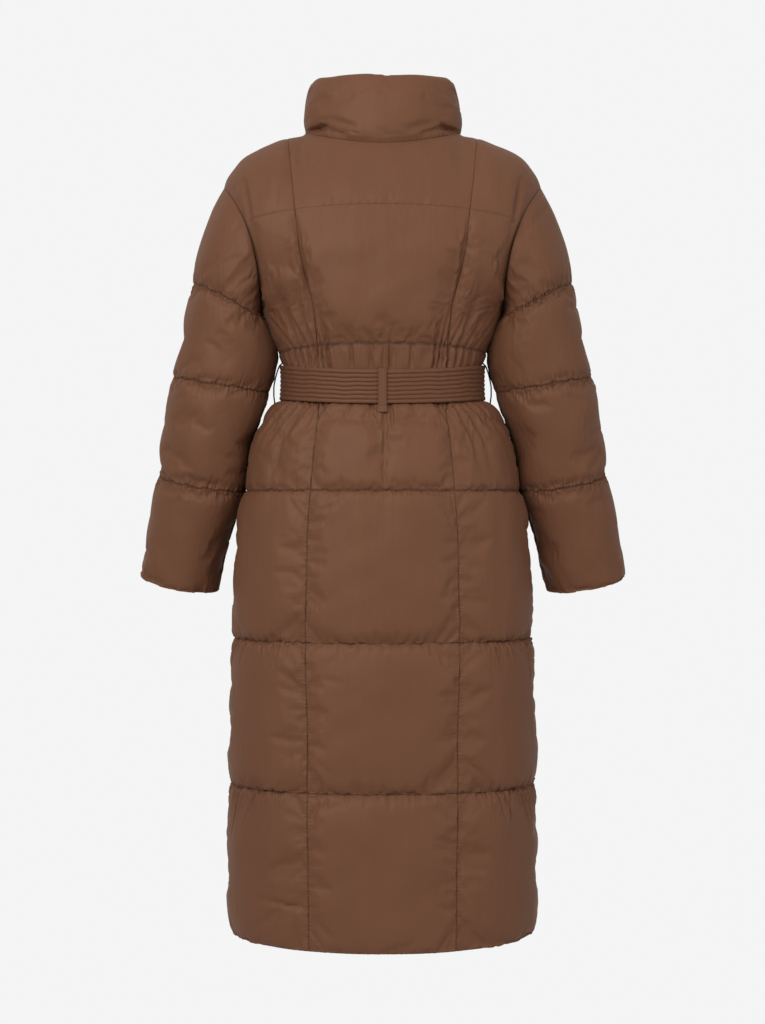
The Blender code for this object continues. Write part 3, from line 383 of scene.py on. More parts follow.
# %% Gathers
GATHERS = {
    BACK: table("x width depth up down fan", """
0.144 0.005 0.003 0.03 0.04 0.1
0.134 0.0034 0.0052 0.034 0.05 0.12
0.1227 0.0036 0.0062 0.078 0.055 0.1
0.1126 0.0034 0.0058 0.05 0.085 0.1
0.104 0.004 0.0052 0.095 0.04 0.08
0.0915 0.003 0.006 0.04 0.045 0.06
0.0823 0.0036 0.0062 0.062 0.04 0.05
0.064 0.006 0.0012 0.06 0.03 0.04
0.0462 0.0036 0.0036 0.024 0.03 0.03
0.031 0.007 0.0009 0.09 0.03 0.02
0.0173 0.0044 0.0042 0.018 0.026 0.02
-0.0029 0.0026 0.0046 0.04 0.11 0
-0.0115 0.0032 0.0044 0.03 0.05 0.02
-0.024 0.006 0.001 0.024 0.06 0.04
-0.0433 0.004 0.0034 0.03 0.034 0.03
-0.061 0.0065 0.001 0.08 0.03 0.04
-0.079 0.0034 0.0056 0.07 0.034 0.05
-0.0866 0.003 0.006 0.085 0.04 0.06
-0.0924 0.0026 0.0056 0.03 0.03 0.06
-0.101 0.003 0.006 0.04 0.07 0.08
-0.1126 0.004 0.0052 0.088 0.075 0.1
-0.123 0.004 0.0036 0.05 0.045 0.1
-0.1356 0.004 0.0034 0.036 0.06 0.12
-0.1445 0.005 0.0022 0.03 0.04 0.1"""),
    FRONT: table("x width depth up down fan", """
0.142 0.0048 0.0032 0.034 0.04 0.1
0.13 0.0036 0.0056 0.06 0.055 0.1
0.116 0.0036 0.006 0.085 0.07 0.1
0.104 0.0034 0.0056 0.05 0.045 0.08
0.09 0.0038 0.0058 0.075 0.06 0.06
0.072 0.004 0.0044 0.04 0.034 0.05
0.054 0.0044 0.0036 0.055 0.04 0.04
0.035 0.0042 0.0034 0.034 0.03 0.02
-0.038 0.0042 0.0036 0.04 0.034 0.03
-0.056 0.0044 0.0036 0.06 0.04 0.04
-0.073 0.0038 0.005 0.036 0.045 0.05
-0.088 0.0036 0.0058 0.08 0.055 0.06
-0.102 0.0034 0.0056 0.045 0.06 0.08
-0.117 0.0036 0.006 0.075 0.05 0.1
-0.131 0.0038 0.0052 0.05 0.065 0.1
-0.143 0.0048 0.0032 0.03 0.04 0.1"""),
}
GATHER_PULL = 1.25  # every gather's depth is raised by this


def gather_depth(face, s, v):
    depth = np.zeros_like(v)
    away = np.maximum(np.maximum(v - WAIST_ROW, BELT_BOTTOM - v), 0)
    near = away < 0.17
    if not near.any():
        return depth
    s, v, away = s[near], v[near], away[near]
    level = np.array([WAIST_ROW])
    total = np.zeros_like(v)
    for x, width, deep, up, down, fan in zip(*GATHERS[face].values()):
        reach = np.where(v > WAIST_ROW, up, down)
        middle = s_at(face, x, level)[0] * (1 + fan * away / reach)
        spread = width * (1 + 1.1 * away / reach)
        across = ((s - middle) * WAIST_QUARTER / spread) ** 2
        total += deep * (1 - 0.45 * across) * np.exp(-across) * np.exp(-((away / reach) ** 1.5))
    depth[near] = GATHER_PULL * total
    return depth


print("gathers:", {face: len(rows["x"]) for face, rows in GATHERS.items()})

# %% [markdown]
# ## How deep the skin lies
# The outer skin touches the envelope at the top of each cushion and sinks to the stitches. Its depth joins
# several things: the quilt rows, the seams at both edges of the panel, the gathers, a few long creases and a
# slight unevenness of the down. The fine puckers beside rows and seams are worked out apart, because they are
# laid on last. `stitched` is kept too: it is 1 on a sewn line and 0 away from it, and the cloth's material
# uses it to darken the bottom of the groove, where little light reaches.


# %% Depth of the body's skin
def sharp(distance, width=0.0016):
    return np.exp(-((distance / width) ** 2))


def join_depths(*depths):
    """Deepest of several, rounded where they cross."""
    return sum(np.maximum(d, 0) ** 3 for d in depths) ** (1 / 3)


def side_strength(place):
    """Row puckers on the body: slight in the middle of a panel's row and strong towards the sides."""
    return 0.07 + 1.03 * ease((np.abs(place) - 0.090) / 0.08)


def along_seams(v, run, seed):
    """Small pulls beside an upright seam."""
    return 0.75 * puckers(v, run, lambda place: 0.16, 0.014, seed, (0.060, 0.060))


# How deep the long seams lie. They are all but flush over the shoulders and sink in where the belt gathers.
SEAM_DEPTH = table("v depth", [
    (HEM, 0.0022), (ROW_4, 0.0030), (ROW_3, 0.0030), (HIP_ROW, 0.0030), (BELT_BOTTOM, 0.0044),
    (WAIST_ROW, 0.0064), (-0.2200, 0.0072), (YOKE - 0.020, 0.0036), (YOKE, 0.0018), (0.0, 0.0012),
])
ROW_SHARE = {HEM: 0.45, WAIST_ROW: 0.50, HIP_ROW: 0.62, YOKE: 0.10, ROW_3: 0.80, ROW_4: 0.80}


def seam_depth(v):
    return np.interp(v, SEAM_DEPTH["v"], SEAM_DEPTH["depth"])


SOFTENED_END = 0.085


def softened(shape, face, s, v, steps=13):
    """shape(face, s, v), blended up and down where the skirt and the chest meet under the arm."""
    whole = shape(face, s, v)
    near = (np.abs(v - UNDERARM) < SOFTENED_END).any(axis=1)
    s, v = s[near], v[near]
    soft = sharp(v - UNDERARM, 0.042) * ease((1 - np.abs(s)) / 0.12)
    reach = 0.036 * soft
    moves = np.linspace(-1, 1, steps + 2)[1:-1]
    shares = (1 + np.cos(math.pi * moves)) / (steps + 1)
    here = sum(share * shape(face, s, v + reach * move) for move, share in zip(moves, shares))
    for _ in range(30):
        here[1:-1] += 0.5 * soft[1:-1, :, None] * ((here[2:] + here[:-2]) / 2 - here[1:-1])
    whole[near] = here
    return whole


HEM_DROP, HEM_REACH = 0.0038, 0.10
ROW_SAG, ROW_SAG_REACH = 0.0046, 0.012


def sag(points, s, v):
    """The down sinks, so the lower part of each cushion hangs a little over the row under it, and the hem
    hangs lowest in the middle of the back and front."""
    drop = HEM_DROP * np.cos(math.pi * s) * ease((HEM + HEM_REACH - v) / HEM_REACH)
    for level in (ROW_3, ROW_4):
        up = (v - level) / ROW_SAG_REACH
        drop += ROW_SAG * np.where(up > 0, up * np.exp(1 - up), 0)
    return points - np.array([0, 0, 1]) * drop[..., None]


def segment_distance(x, z, x0, z0, x1, z1):
    """Distance of each point from a straight line's stretch, and the share of the way along it."""
    dx, dz = x1 - x0, z1 - z0
    share = np.clip(((x - x0) * dx + (z - z0) * dz) / (dx * dx + dz * dz), 0, 1)
    return np.hypot(x - x0 - share * dx, z - z0 - share * dz), share


CREASES = table("x0 z0 x1 z1 width depth", """
0.203 -0.08 0.1935 -0.142 0.0052 0.0062
-0.203 -0.08 -0.1935 -0.142 0.0052 0.0062
0.1262 -0.142 0.099 -0.318 0.0056 0.0072
-0.1255 -0.142 -0.099 -0.318 0.0056 0.0068
0.188 -0.15 0.182 -0.205 0.006 0.003
-0.189 -0.148 -0.183 -0.215 0.006 0.003
0.182 -1.121 0.119 -1.129 0.0052 0.0024
-0.08 -1.126 -0.105 -1.135 0.004 0.0026
-0.116 -0.917 -0.148 -0.94 0.0044 0.0042
-0.122 -0.915 -0.139 -0.922 0.003 0.0022
0.096 -0.802 0.056 -0.809 0.005 0.002
0.09 -1.015 0.112 -1.021 0.0034 0.0022""")


def grooves(points, creases, taper, flank):
    """Straight soft grooves with ends that taper(share), and low ridges of the given flank beside them."""
    depth = np.zeros(points.shape[:-1])
    for *ends, width, deep in zip(*creases.values()):
        distance, share = segment_distance(points[..., 0], points[..., 2], *ends)
        across = (distance / width) ** 2
        depth += deep * taper(share) * (1 - flank * across) * np.exp(-across)
    return depth


def crease_depth(face, points):
    """Creases that fall anywhere on the back. The front has them too, the other way round."""
    if face == FRONT:
        points = points * np.array([-1, 1, 1])
    return grooves(points, CREASES, lambda share: np.sin(math.pi * (0.15 + 0.7 * share)), 0.35)


def repeated(values, count):
    """The same column of values, count times side by side."""
    return np.repeat(values[:, None], count, axis=1)


def lengths(points):
    """Distance along each row of a grid from its first column."""
    steps = np.linalg.norm(np.diff(points, axis=1), axis=-1)
    return np.concatenate([np.zeros((len(points), 1)), np.cumsum(steps, axis=1)], axis=1)


def armhole_direction(face, v):
    """Straight out from the middle of the armhole, along which both walls are thick at the armhole seam."""
    turn = math.pi * v / UNDERARM
    up = unit(np.array([SHOULDER_TIP_X - UNDERARM_X, 0.0, SHOULDER_TIP_Z - UNDERARM]))
    return np.cos(turn)[..., None] * up + face * np.sin(turn)[..., None] * np.array([0.0, 1.0, 0.0])


def armhole_share(v):
    """0 at the underarm, where body and sleeve lie back to back, and 1 above that."""
    return ease((1 - v / UNDERARM) / UNDERARM_SHARE)


def shared_normals(face, s, v):
    """Wall directions: the envelope's normal, shared with the next piece at armhole and shoulder seams."""
    direction = body_normal(face, s, v)
    at_armhole = (np.abs(s) > 0.999) & (v >= UNDERARM)
    mirror = joined(np.sign(s), np.ones_like(s), np.ones_like(s))
    share = armhole_share(v)[..., None]
    mixed = unit(direction * (1 - share) + armhole_direction(face, v) * mirror * share)
    direction = np.where(at_armhole[..., None], mixed, direction)
    at_shoulder = (v > -1e-6) & (np.abs(s) > NECK_CORNER - 1e-6) & (np.abs(s) < 0.999)
    both = body_normal(BACK, s, v) + body_normal(FRONT, s, v)
    return unit(np.where(at_shoulder[..., None], both, direction))


LOFT, MOST_PROUD = 0.0011, 0.0015  # size of the down's unevenness, and how far it may push past the envelope
FOLD_HOLDS, CREASE_HOLDS = 0.0030, 0.0045  # gathers and creases deeper than this hold the cloth down
NECK_DEPTH, NECK_REACH = 0.0012, 0.012
ROW_WANDER = 0.0011


def body_depth(face, s, v, points, seams, seed):
    """seams says how deep each side edge of the panel is sewn in. Returns the depth, how stitched the cloth
    is, and where a fold holds it down."""
    across = s * BODY_QUARTER
    run = lengths(points)
    parts, stitched = [], np.zeros_like(v)
    for k, (level, deep, above, below) in enumerate(zip(*ROWS.values())):
        away = v - level - row_wander(across, level, k)
        parts.append(ROW_SHARE.get(level, 1.0) * deep * valley(away, np.where(away > 0, above, below)))
        stitched = np.maximum(stitched, 0.35 * sharp(away, 0.0008) if level == YOKE else sharp(away))
    for deep, distance in zip(seams, (run, run[:, -1:] - run)):
        if deep:
            parts.append(seam_depth(v) * valley(distance, PANEL_SEAM["reach"]))
            stitched = np.maximum(stitched, 0.8 * sharp(distance, 0.0009))
    parts.append(seam_depth(v) * valley(v, PANEL_SEAM["reach"]) * (v > YOKE))
    gathers, creases = gather_depth(face, s, v), crease_depth(face, points)
    parts += [gathers, creases]
    folded = (gathers > FOLD_HOLDS) | (creases > CREASE_HOLDS)
    pressed = under_belt(v)
    beside = ease(np.minimum(run, run[:, -1:] - run) / 0.014) * (1 - sharp(v - YOKE, 0.012))
    depth = join_depths(*parts) + loft(across, v, LOFT, seed) * beside * ~pressed
    depth = np.where(pressed, np.maximum(depth * 0.5, BELT_PRESS), depth)
    below_neck = ease(-v / NECK_REACH)
    depth = NECK_DEPTH * (1 - below_neck) + depth * below_neck
    return np.clip(depth, -MOST_PROUD, WALL - THINNEST) * (1 - at_underarm(s, v)), stitched, folded


def row_wander(across, level, k):
    return wander(across, 0.0 if level in (HEM, YOKE) else ROW_WANDER, k)


def under_belt(v):
    return (v < BELT_TOP + 1e-6) & (v > BELT_BOTTOM - 1e-6)


def at_underarm(s, v):
    """1 at the edge that is sewn to the underside of the sleeve, where the skin keeps to the envelope."""
    return ease((np.abs(s) - 0.96) / 0.04) * (v >= UNDERARM) * (1 - armhole_share(v))


ROW_PULLS = table("v geometry fine above below", [
    (HEM, 0.16, 0.20, 0.010, 0.010), (ROW_4, 1.00, 1.00, 0.012, 0.026), (ROW_3, 1.00, 1.00, 0.012, 0.026),
    (HIP_ROW, 0.16, 0.45, 0.005, 0.009), (WAIST_ROW, 0.12, 0.40, 0.012, 0.006),
    (YOKE, 0.00, 0.03, 0.006, 0.020),
])


def body_puckers(face, places, seams, seed):
    """The fine creases beside rows and seams, as a depth and as two shares that the cloth material uses for
    finer ones. places holds the place across, the level and both side distances."""
    across, v, left, right = np.moveaxis(places, -1, 0)
    fine, by_rows, by_seams = np.zeros_like(v), np.zeros_like(v), np.zeros_like(v)
    for k, (level, deep, share, above, below) in enumerate(zip(*ROW_PULLS.values())):
        away = v - level - row_wander(across, level, k)
        strength = side_strength if deep == 1 else (lambda place, deep=deep: deep)
        fine += puckers(across, away, strength, 0.0095, 31 * k + (5 if face == FRONT else 0))
        local = side_strength(across) if deep == 1 else 1.0
        far = np.where(away > 0, away / above, -away / below)
        by_rows = np.maximum(by_rows, share * local * np.exp(-far))
    for k, (deep, distance) in enumerate(zip(seams, (left, right))):
        if deep:
            share = 0.25 + 0.75 * ease((HIP_ROW - v) / 0.06)
            fine += share * along_seams(v, distance, seed + 7 * k) * ease(distance / 0.004)
            by_seams = np.maximum(by_seams, 0.8 * share * np.exp(-distance / 0.007) * ease((YOKE - v) / 0.02))
    clear = ~under_belt(v) * ease(-v / NECK_REACH) * (1 - at_underarm(across / BODY_QUARTER, v))
    return fine * clear, by_rows * clear, by_seams * clear


# %% [markdown]
# ## Fine grids
# A grid is spaced unevenly: close rows of points beside each stitch line, where the cloth bends sharply, and
# wider ones on the open cushions. `Shell` collects the outer skin, the lining and the edges that join them,
# and makes one closed mesh. The lining is plainer, so it keeps only some of the rows and columns.


# %% Grids and shells
def uneven(start, end, lines, wide, close, reach):
    """Places from start to end, wide apart in the open and close together near the given lines."""
    fine = np.linspace(start, end, 4001)
    density = np.full_like(fine, 1 / wide)
    for line in lines:
        density = np.maximum(density, (1 / close) * np.exp(-(((fine - line) / reach) ** 2)))
    total = np.concatenate([[0], np.cumsum((density[1:] + density[:-1]) / 2 * np.abs(np.diff(fine)))])
    count = max(int(round(total[-1])), 2)
    return np.interp(np.linspace(0, total[-1], count + 1), total, fine)


CLOSED_GAP = 0.00004  # sewn edges all but meet, so that no light shows between them


def draw_in(grid, rows=(0.0, 0.0), columns=(0.0, 0.0)):
    """Moves a grid's edges inwards by a seam gap each, along the surface."""
    grid = grid.copy()
    for edge, inner, gap in ((0, 1, rows[0]), (-1, -2, rows[1])):
        grid[edge] += unit(grid[inner] - grid[edge]) * gap
    for edge, inner, gap in ((0, 1, columns[0]), (-1, -2, columns[1])):
        grid[:, edge] += unit(grid[:, inner] - grid[:, edge]) * gap
    return grid


def every(count, step):
    """The rows or columns that the plainer lining keeps, and always the last one."""
    return sorted(set(range(0, count, step)) | {count - 1})


MARKS = ("stitched", "by_rows", "by_seams")  # what every point tells the cloth material, 0 to 1


def placed(name, data):
    """A new object with this mesh, curve, lamp or camera, linked into the scene."""
    obj = bpy.data.objects.new(name, data)
    bpy.context.scene.collection.objects.link(obj)
    return obj


def baked(guide):
    """The mesh that a guide's curve or modifiers make. The guide itself is removed."""
    mesh = bpy.data.meshes.new_from_object(guide.evaluated_get(bpy.context.evaluated_depsgraph_get()))
    bpy.data.objects.remove(guide)
    return mesh


class Shell:
    """A mesh in the making: points with uvs and marks, and faces with a material slot each."""

    def __init__(self):
        self.points, self.uvs, self.marks, self.faces, self.slots = [], [], [], [], []

    def add(self, grid, uv=None, *marks):
        """Adds a grid of points and gives back the number of each."""
        first = sum(len(block) for block in self.points)
        flat = np.asarray(grid, float).reshape(-1, 3)
        self.points.append(flat)
        self.uvs.append(flat[:, [0, 2]] if uv is None else np.asarray(uv, float).reshape(-1, 2))
        block = np.zeros((len(flat), len(MARKS)))
        for k, mark in enumerate(marks):
            block[:, k] = np.asarray(mark).reshape(-1)
        self.marks.append(block)
        return first + np.arange(len(flat)).reshape(np.asarray(grid).shape[:-1])

    def take(self, faces, flip=False, slot=0):
        """Adds faces, turned over if asked, with the material of the given slot."""
        self.faces += [[int(i) for i in (face[::-1] if flip else face)] for face in faces]
        self.slots += [slot] * len(faces)

    def fill(self, index, closed=False, flip=False, slot=0):
        """Quads between neighbouring rows and columns of the grid."""
        if closed:
            index = np.concatenate([index, index[:, :1]], axis=1)
        corners = [index[:-1, :-1], index[:-1, 1:], index[1:, 1:], index[1:, :-1]]
        self.take(joined(*corners).reshape(-1, 4), flip, slot)

    def strip(self, fine, coarse, kept, flip=False):
        """Triangles between an edge of the outer skin and the lining's edge, which keeps fewer points."""
        for n, (first, last) in enumerate(zip(kept[:-1], kept[1:])):
            half = (first + last + 1) // 2
            faces = [[fine[k], fine[k + 1], coarse[n]] for k in range(first, half)]
            faces.append([fine[half], coarse[n + 1], coarse[n]])
            faces += [[fine[k], fine[k + 1], coarse[n + 1]] for k in range(half, last)]
            self.take(faces, flip)

    def to_object(self, name, materials):
        mesh = bpy.data.meshes.new(name)
        mesh.from_pydata(np.concatenate(self.points).tolist(), [], self.faces)
        mesh.polygons.foreach_set("material_index", self.slots)
        corner = np.empty(len(mesh.loops), np.int32)
        mesh.loops.foreach_get("vertex_index", corner)
        layer = mesh.uv_layers.new(name="cloth")
        layer.uv.foreach_set("vector", np.concatenate(self.uvs)[corner].astype(np.float32).ravel())
        for mark, values in zip(MARKS, np.concatenate(self.marks).T.astype(np.float32)):
            mesh.attributes.new(mark, "FLOAT", "POINT").data.foreach_set("value", values.copy())
        for material in materials:
            mesh.materials.append(material)
        mesh.shade_smooth()
        mesh.set_sharp_from_angle(angle=math.radians(62))
        return placed(name, mesh)


def shell(name, outer, inner, kept_rows, kept_columns, materials, uv, marks, closed=False, flip=False):
    """A piece of padded cloth: outer skin, lining and the edges that join them."""
    made = Shell()
    out = made.add(outer, uv, *marks)
    pick = np.ix_(kept_rows, kept_columns)
    into = made.add(inner[pick], uv[pick])
    made.fill(out, closed, flip)
    made.fill(into, closed, not flip, slot=1)
    ring = list(kept_columns) + [outer.shape[1]] if closed else list(kept_columns)
    for edge, turned in ((0, not flip), (-1, flip)):
        fine, coarse = list(out[edge]), list(into[edge])
        if closed:
            fine, coarse = fine + fine[:1], coarse + coarse[:1]
        made.strip(fine, coarse, ring, turned)
    if not closed:
        for edge, turned in ((0, flip), (-1, not flip)):
            made.strip(list(out[:, edge]), list(into[:, edge]), list(kept_rows), turned)
    return made.to_object(name, materials)


def with_edges(pinned, sides=True):
    """Holds the grid's first and last rows too, and with sides its first and last columns."""
    pinned[[0, -1]] = True
    if sides:
        pinned[:, [0, -1]] = True
    return pinned


SEAMS = {}  # sewn lines on the skin, kept for the stitches: name to points and outward directions


def remember(name, points, out):
    SEAMS[name] = (np.array(points), np.array(out))


LOW_LEVELS = uneven(HEM, YOKE, [*ROWS["v"], UNDERARM], 0.0046, 0.0017, 0.010)
LOW_LEVELS[np.abs(LOW_LEVELS - UNDERARM).argmin()] = UNDERARM
HIGH_LEVELS = uneven(YOKE, 0.0, [YOKE, 0.0], 0.0040, 0.0018, 0.008)
ALL_LEVELS = np.concatenate([LOW_LEVELS, HIGH_LEVELS[1:]])
print("levels from hem to neck:", len(ALL_LEVELS))

# %% [markdown]
# ## The cloth
# The shell is a smooth, tightly woven down-proof cloth with a soft matte sheen. `Number` wraps a socket of
# the material so that sums read like ordinary sums. The weave and a faint crinkle are bump only, because
# threads are a fraction of a millimetre. The colour varies slightly, partly at random and partly as painted
# satin sheen in upright streaks. Sewn grooves are darkened with painted shade, where little light reaches.


# %% Materials
class Tree:
    """A material's node tree with short ways to add nodes."""

    def __init__(self, name):
        self.material = bpy.data.materials.new(name)
        self.material.use_nodes = True
        self.tree = self.material.node_tree
        self.shader = self.tree.nodes["Principled BSDF"]

    def node(self, kind, settings=None, **links):
        made = self.tree.nodes.new(kind)
        for key, value in (settings or {}).items():
            setattr(made, key, value)
        for key, value in links.items():
            self.put(made.inputs[int(key[1:]) if key[0] == "i" and key[1:].isdigit() else key], value)
        return made

    def put(self, socket, value):
        if isinstance(value, Number):
            self.tree.links.new(value.socket, socket)
        elif isinstance(value, bpy.types.NodeSocket):
            self.tree.links.new(value, socket)
        else:
            socket.default_value = value

    def mix(self, share, first, second):
        made = self.node("ShaderNodeMix", {"data_type": "RGBA"})
        self.put(made.inputs["Factor"], share)
        self.put(made.inputs[6], first)
        self.put(made.inputs[7], second)
        return made.outputs[2]


class Number:
    """A number in a material's node tree. A sum with it adds a Math node."""

    def __init__(self, tree, socket):
        self.tree, self.socket = tree, socket

    def math(self, operation, first, second=0.0):
        made = self.tree.node("ShaderNodeMath", {"operation": operation})
        self.tree.put(made.inputs[0], first)
        self.tree.put(made.inputs[1], second)
        return Number(self.tree, made.outputs[0])

    def __add__(self, other):
        return self.math("ADD", self, other)

    def __sub__(self, other):
        return self.math("SUBTRACT", self, other)

    def __rsub__(self, other):
        return self.math("SUBTRACT", other, self)

    def __mul__(self, other):
        return self.math("MULTIPLY", self, other)

    def __radd__(self, other):
        return self.math("ADD", other, self)


def noise(tree, place, scale, detail=2.0):
    made = tree.node("ShaderNodeTexNoise", Vector=place, Scale=scale, Detail=detail)
    return Number(tree, made.outputs["Fac"])


# Fine creases run away from the rows and from the upright seams: mark, height, stretch of the noise.
FINE_CREASES = (("by_rows", 0.0013, (150.0, 24.0, 1.0)), ("by_seams", 0.0009, (14.0, 95.0, 1.0)))
WEAVE_TURNS, WEAVE_HEIGHT = 9000.0, 0.00002
SHEEN = (("Specular IOR Level", 0.22), ("Specular Tint", (1.0, 0.80, 0.66, 1.0)), ("Sheen Weight", 0.06),
         ("Sheen Roughness", 0.45), ("Sheen Tint", (0.85, 0.62, 0.48, 1.0)))


def cloth_material(name, colour, roughness, crinkle, groove):
    """crinkle is the height of the finest wrinkles in metres, groove how dark the painted shade makes the
    cloth on a sewn line.
    """
    tree = Tree(name)
    place = tree.node("ShaderNodeTexCoord").outputs["Object"]
    uv = tree.node("ShaderNodeUVMap", {"uv_map": "cloth"}).outputs[0]

    def mark(called):
        return Number(tree, tree.node("ShaderNodeAttribute", {"attribute_name": called}).outputs["Fac"])

    def stretched(where, way):
        return tree.node("ShaderNodeVectorMath", {"operation": "MULTIPLY"}, i0=where, i1=way).outputs[0]

    def shade(share):
        return tuple(min(c * share, 1.0) for c in colour) + (1.0,)

    # The upright streaks are partly painted satin sheen and partly random tone. With a patchy noise they
    # lighten and darken the colour a little.
    streaks = noise(tree, stretched(place, (1.0, 1.0, 0.16)), 34.0, 3.0)
    tone_and_sheen = streaks * 0.5 + noise(tree, place, 9.0) * 0.5
    tint = tree.mix(tone_and_sheen, shade(0.90), shade(1.10))
    # Painted shade: the stitched mark darkens the base colour along sewn lines, where the groove gets little
    # light.
    tree.put(tree.shader.inputs["Base Color"], tree.mix(mark("stitched"), tint, shade(groove)))
    tree.put(tree.shader.inputs["Roughness"], tone_and_sheen * 0.10 + (roughness - 0.05))
    for key, value in SHEEN:
        tree.shader.inputs[key].default_value = value
    pulled = 0.0
    for called, high, way in FINE_CREASES:
        from_middle = noise(tree, stretched(uv, way), 1.0, 1.5) - 0.5
        line = 1.0 - from_middle.math("ABSOLUTE", from_middle) * 7.0
        line = line.math("MAXIMUM", line)
        pulled = pulled + line * line * mark(called) * high
    split = tree.node("ShaderNodeSeparateXYZ", Vector=uv)
    warp, weft = (Number(tree, split.outputs[k]) * WEAVE_TURNS for k in (0, 1))
    weave = warp.math("SINE", warp) * weft.math("SINE", weft)
    wrinkled = noise(tree, place, 55.0, 3.0) * crinkle + streaks * (crinkle * 6.0)
    height = pulled + wrinkled + weave * WEAVE_HEIGHT
    bump = tree.node("ShaderNodeBump", Strength=1.0, Distance=1.0, Height=height)
    tree.put(tree.shader.inputs["Normal"], bump.outputs[0])
    return tree.material


BROWN = (0.134, 0.0568, 0.0305)
SHELL = cloth_material("shell cloth", BROWN, 0.52, 0.0004, 0.50)
LINING = cloth_material("lining", tuple(c * 0.80 for c in BROWN), 0.55, 0.0004, 0.5)
BELT_CLOTH = cloth_material("belt cloth", tuple(c * 0.93 for c in BROWN), 0.50, 0.0003, 0.55)
THREAD = cloth_material("sewing thread", tuple(c * 0.80 for c in BROWN), 0.60, 0.0, 1.0)
CORD = cloth_material("carrier thread", (0.012, 0.008, 0.007), 0.75, 0.0, 1.0)
print("materials:", [m.name for m in (SHELL, LINING, BELT_CLOTH, THREAD, CORD)])

# %% [markdown]
# ## The back
# The back has six pieces: three long panels and, above a straight yoke seam, three short ones.
# The long seams between them are princess seams, which nip the waist and open out over hips and shoulders.


# %% Back panels
def stands_for(piece, node):
    """The piece is shown in place of this plain solid and moves with it."""
    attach(piece, "root")
    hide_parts(node)


LOOSE = 0.0042  # how far the filled cloth may move from its first shape


def panel(node, face, s, v, seams, seed, outer_depth=None, inner_depth=None, kept=None, gaps=None):
    """Plans one body panel from its grid of places: both skins, the sewn lines and what may move."""
    points = softened(body_point, face, s, v)
    direction = unit(softened(shared_normals, face, s, v, 9))
    depth, stitched, folded = body_depth(face, s, v, points, seams, seed)
    points = sag(points, s, v)
    if outer_depth is not None:
        depth = outer_depth(points, depth)
    thick = np.full_like(depth, WALL) if inner_depth is None else inner_depth(points)
    thick = np.where((np.abs(s) > 0.999) & (v >= UNDERARM), ARMHOLE_WALL, thick)
    gaps = gaps or ((CLOSED_GAP / 2, CLOSED_GAP / 2),) * 2
    outer = draw_in(points - direction * depth[..., None], *gaps)
    inner = draw_in(points - direction * thick[..., None], *gaps)
    run = lengths(points)
    return {
        "node": node, "outer": outer, "inner": inner, "direction": direction, "depth": depth,
        "uv": joined(run + seed, v), "stitched": stitched, "closed": False, "flip": face == BACK,
        "places": joined(s * BODY_QUARTER, v, run, run[:, -1:] - run),
        "puckers": lambda found: body_puckers(face, found, seams, seed),
        "pinned": with_edges((stitched > 0.55) | folded | (np.abs(v - YOKE) < 0.0010)),
        "rows": every(len(v), 5), "columns": kept or every(s.shape[1], 5),
        "loose": body_looseness(face, points, v), "lines": seam_rows(v[:, 0]),
    }


def body_looseness(face, points, v):
    """How far the cloth may billow here, in metres: not at all under the belt, little over the shoulders and
    under the belt's hanging ends."""
    from_belt = np.maximum(v - BELT_TOP, BELT_BOTTOM - v)
    loose = LOOSE * ease(from_belt / 0.012) * (1 - 0.9 * ease((v - YOKE + 0.08) / 0.05))
    under_ends = (face == FRONT) & (np.abs(points[..., 0]) < 0.09) & (v < BELT_TOP)
    return np.where(under_ends, np.minimum(loose, 0.0010), loose)


def seam_rows(levels):
    """The grid rows that carry quilting stitches."""
    away = [np.abs(levels - level) for level in (ROW_4, ROW_3, HIP_ROW, WAIST_ROW)]
    return [int(far.argmin()) for far in away if far.min() < 0.003]


def columns(start, end, width, wide=0.0036, close=0.0017):
    """Grid columns between two upright lines whose place changes with the level, close beside both seams."""
    share = uneven(0.0, width, [0.0, width], wide, close, 0.007)[None, :] / width
    return start[:, None] * (1 - share) + end[:, None] * share


def back_panels():
    seams = (PANEL_SEAM["depth"], PANEL_SEAM["depth"])
    for levels, centre, side in ((LOW_LEVELS, "back", "back_side"), (HIGH_LEVELS, "back_yoke", "back_yoke")):
        line = princess_s(levels)
        one = np.ones_like(line)
        for node, start, end, width, seed in (
            (centre + "_centre", -line, line, 0.24, 1),
            (side + "_left", line, one, 0.19, 2),
            (side + "_right", -one, -line, 0.19, 3),
        ):
            s = columns(start, end, width)
            yield panel(node, BACK, s, repeated(levels, s.shape[1]), seams, seed + len(levels))


PLANS = list(back_panels())
print("back pieces:", [plan["node"] for plan in PLANS])

# %% [markdown]
# ## The fronts
# The two fronts close with a plain hidden fastening, so only an overlap shows: the wearer's right front lies
# over the left one by the width of a placket. Where they overlap each wall is thinner, as the padding stops
# short of the edge there.


# %% Front panels
LAP, LAP_SIDE = 0.014, 0.019  # half the width of the overlap, and where the even columns start
LAP_STEP = (0.0004, 0.0006, 0.0010)  # small steps past the edges of the overlap
LAP_LAYER, LAP_GAP = 0.0035, 0.0018  # thickness of the lower front there, and the air between the two


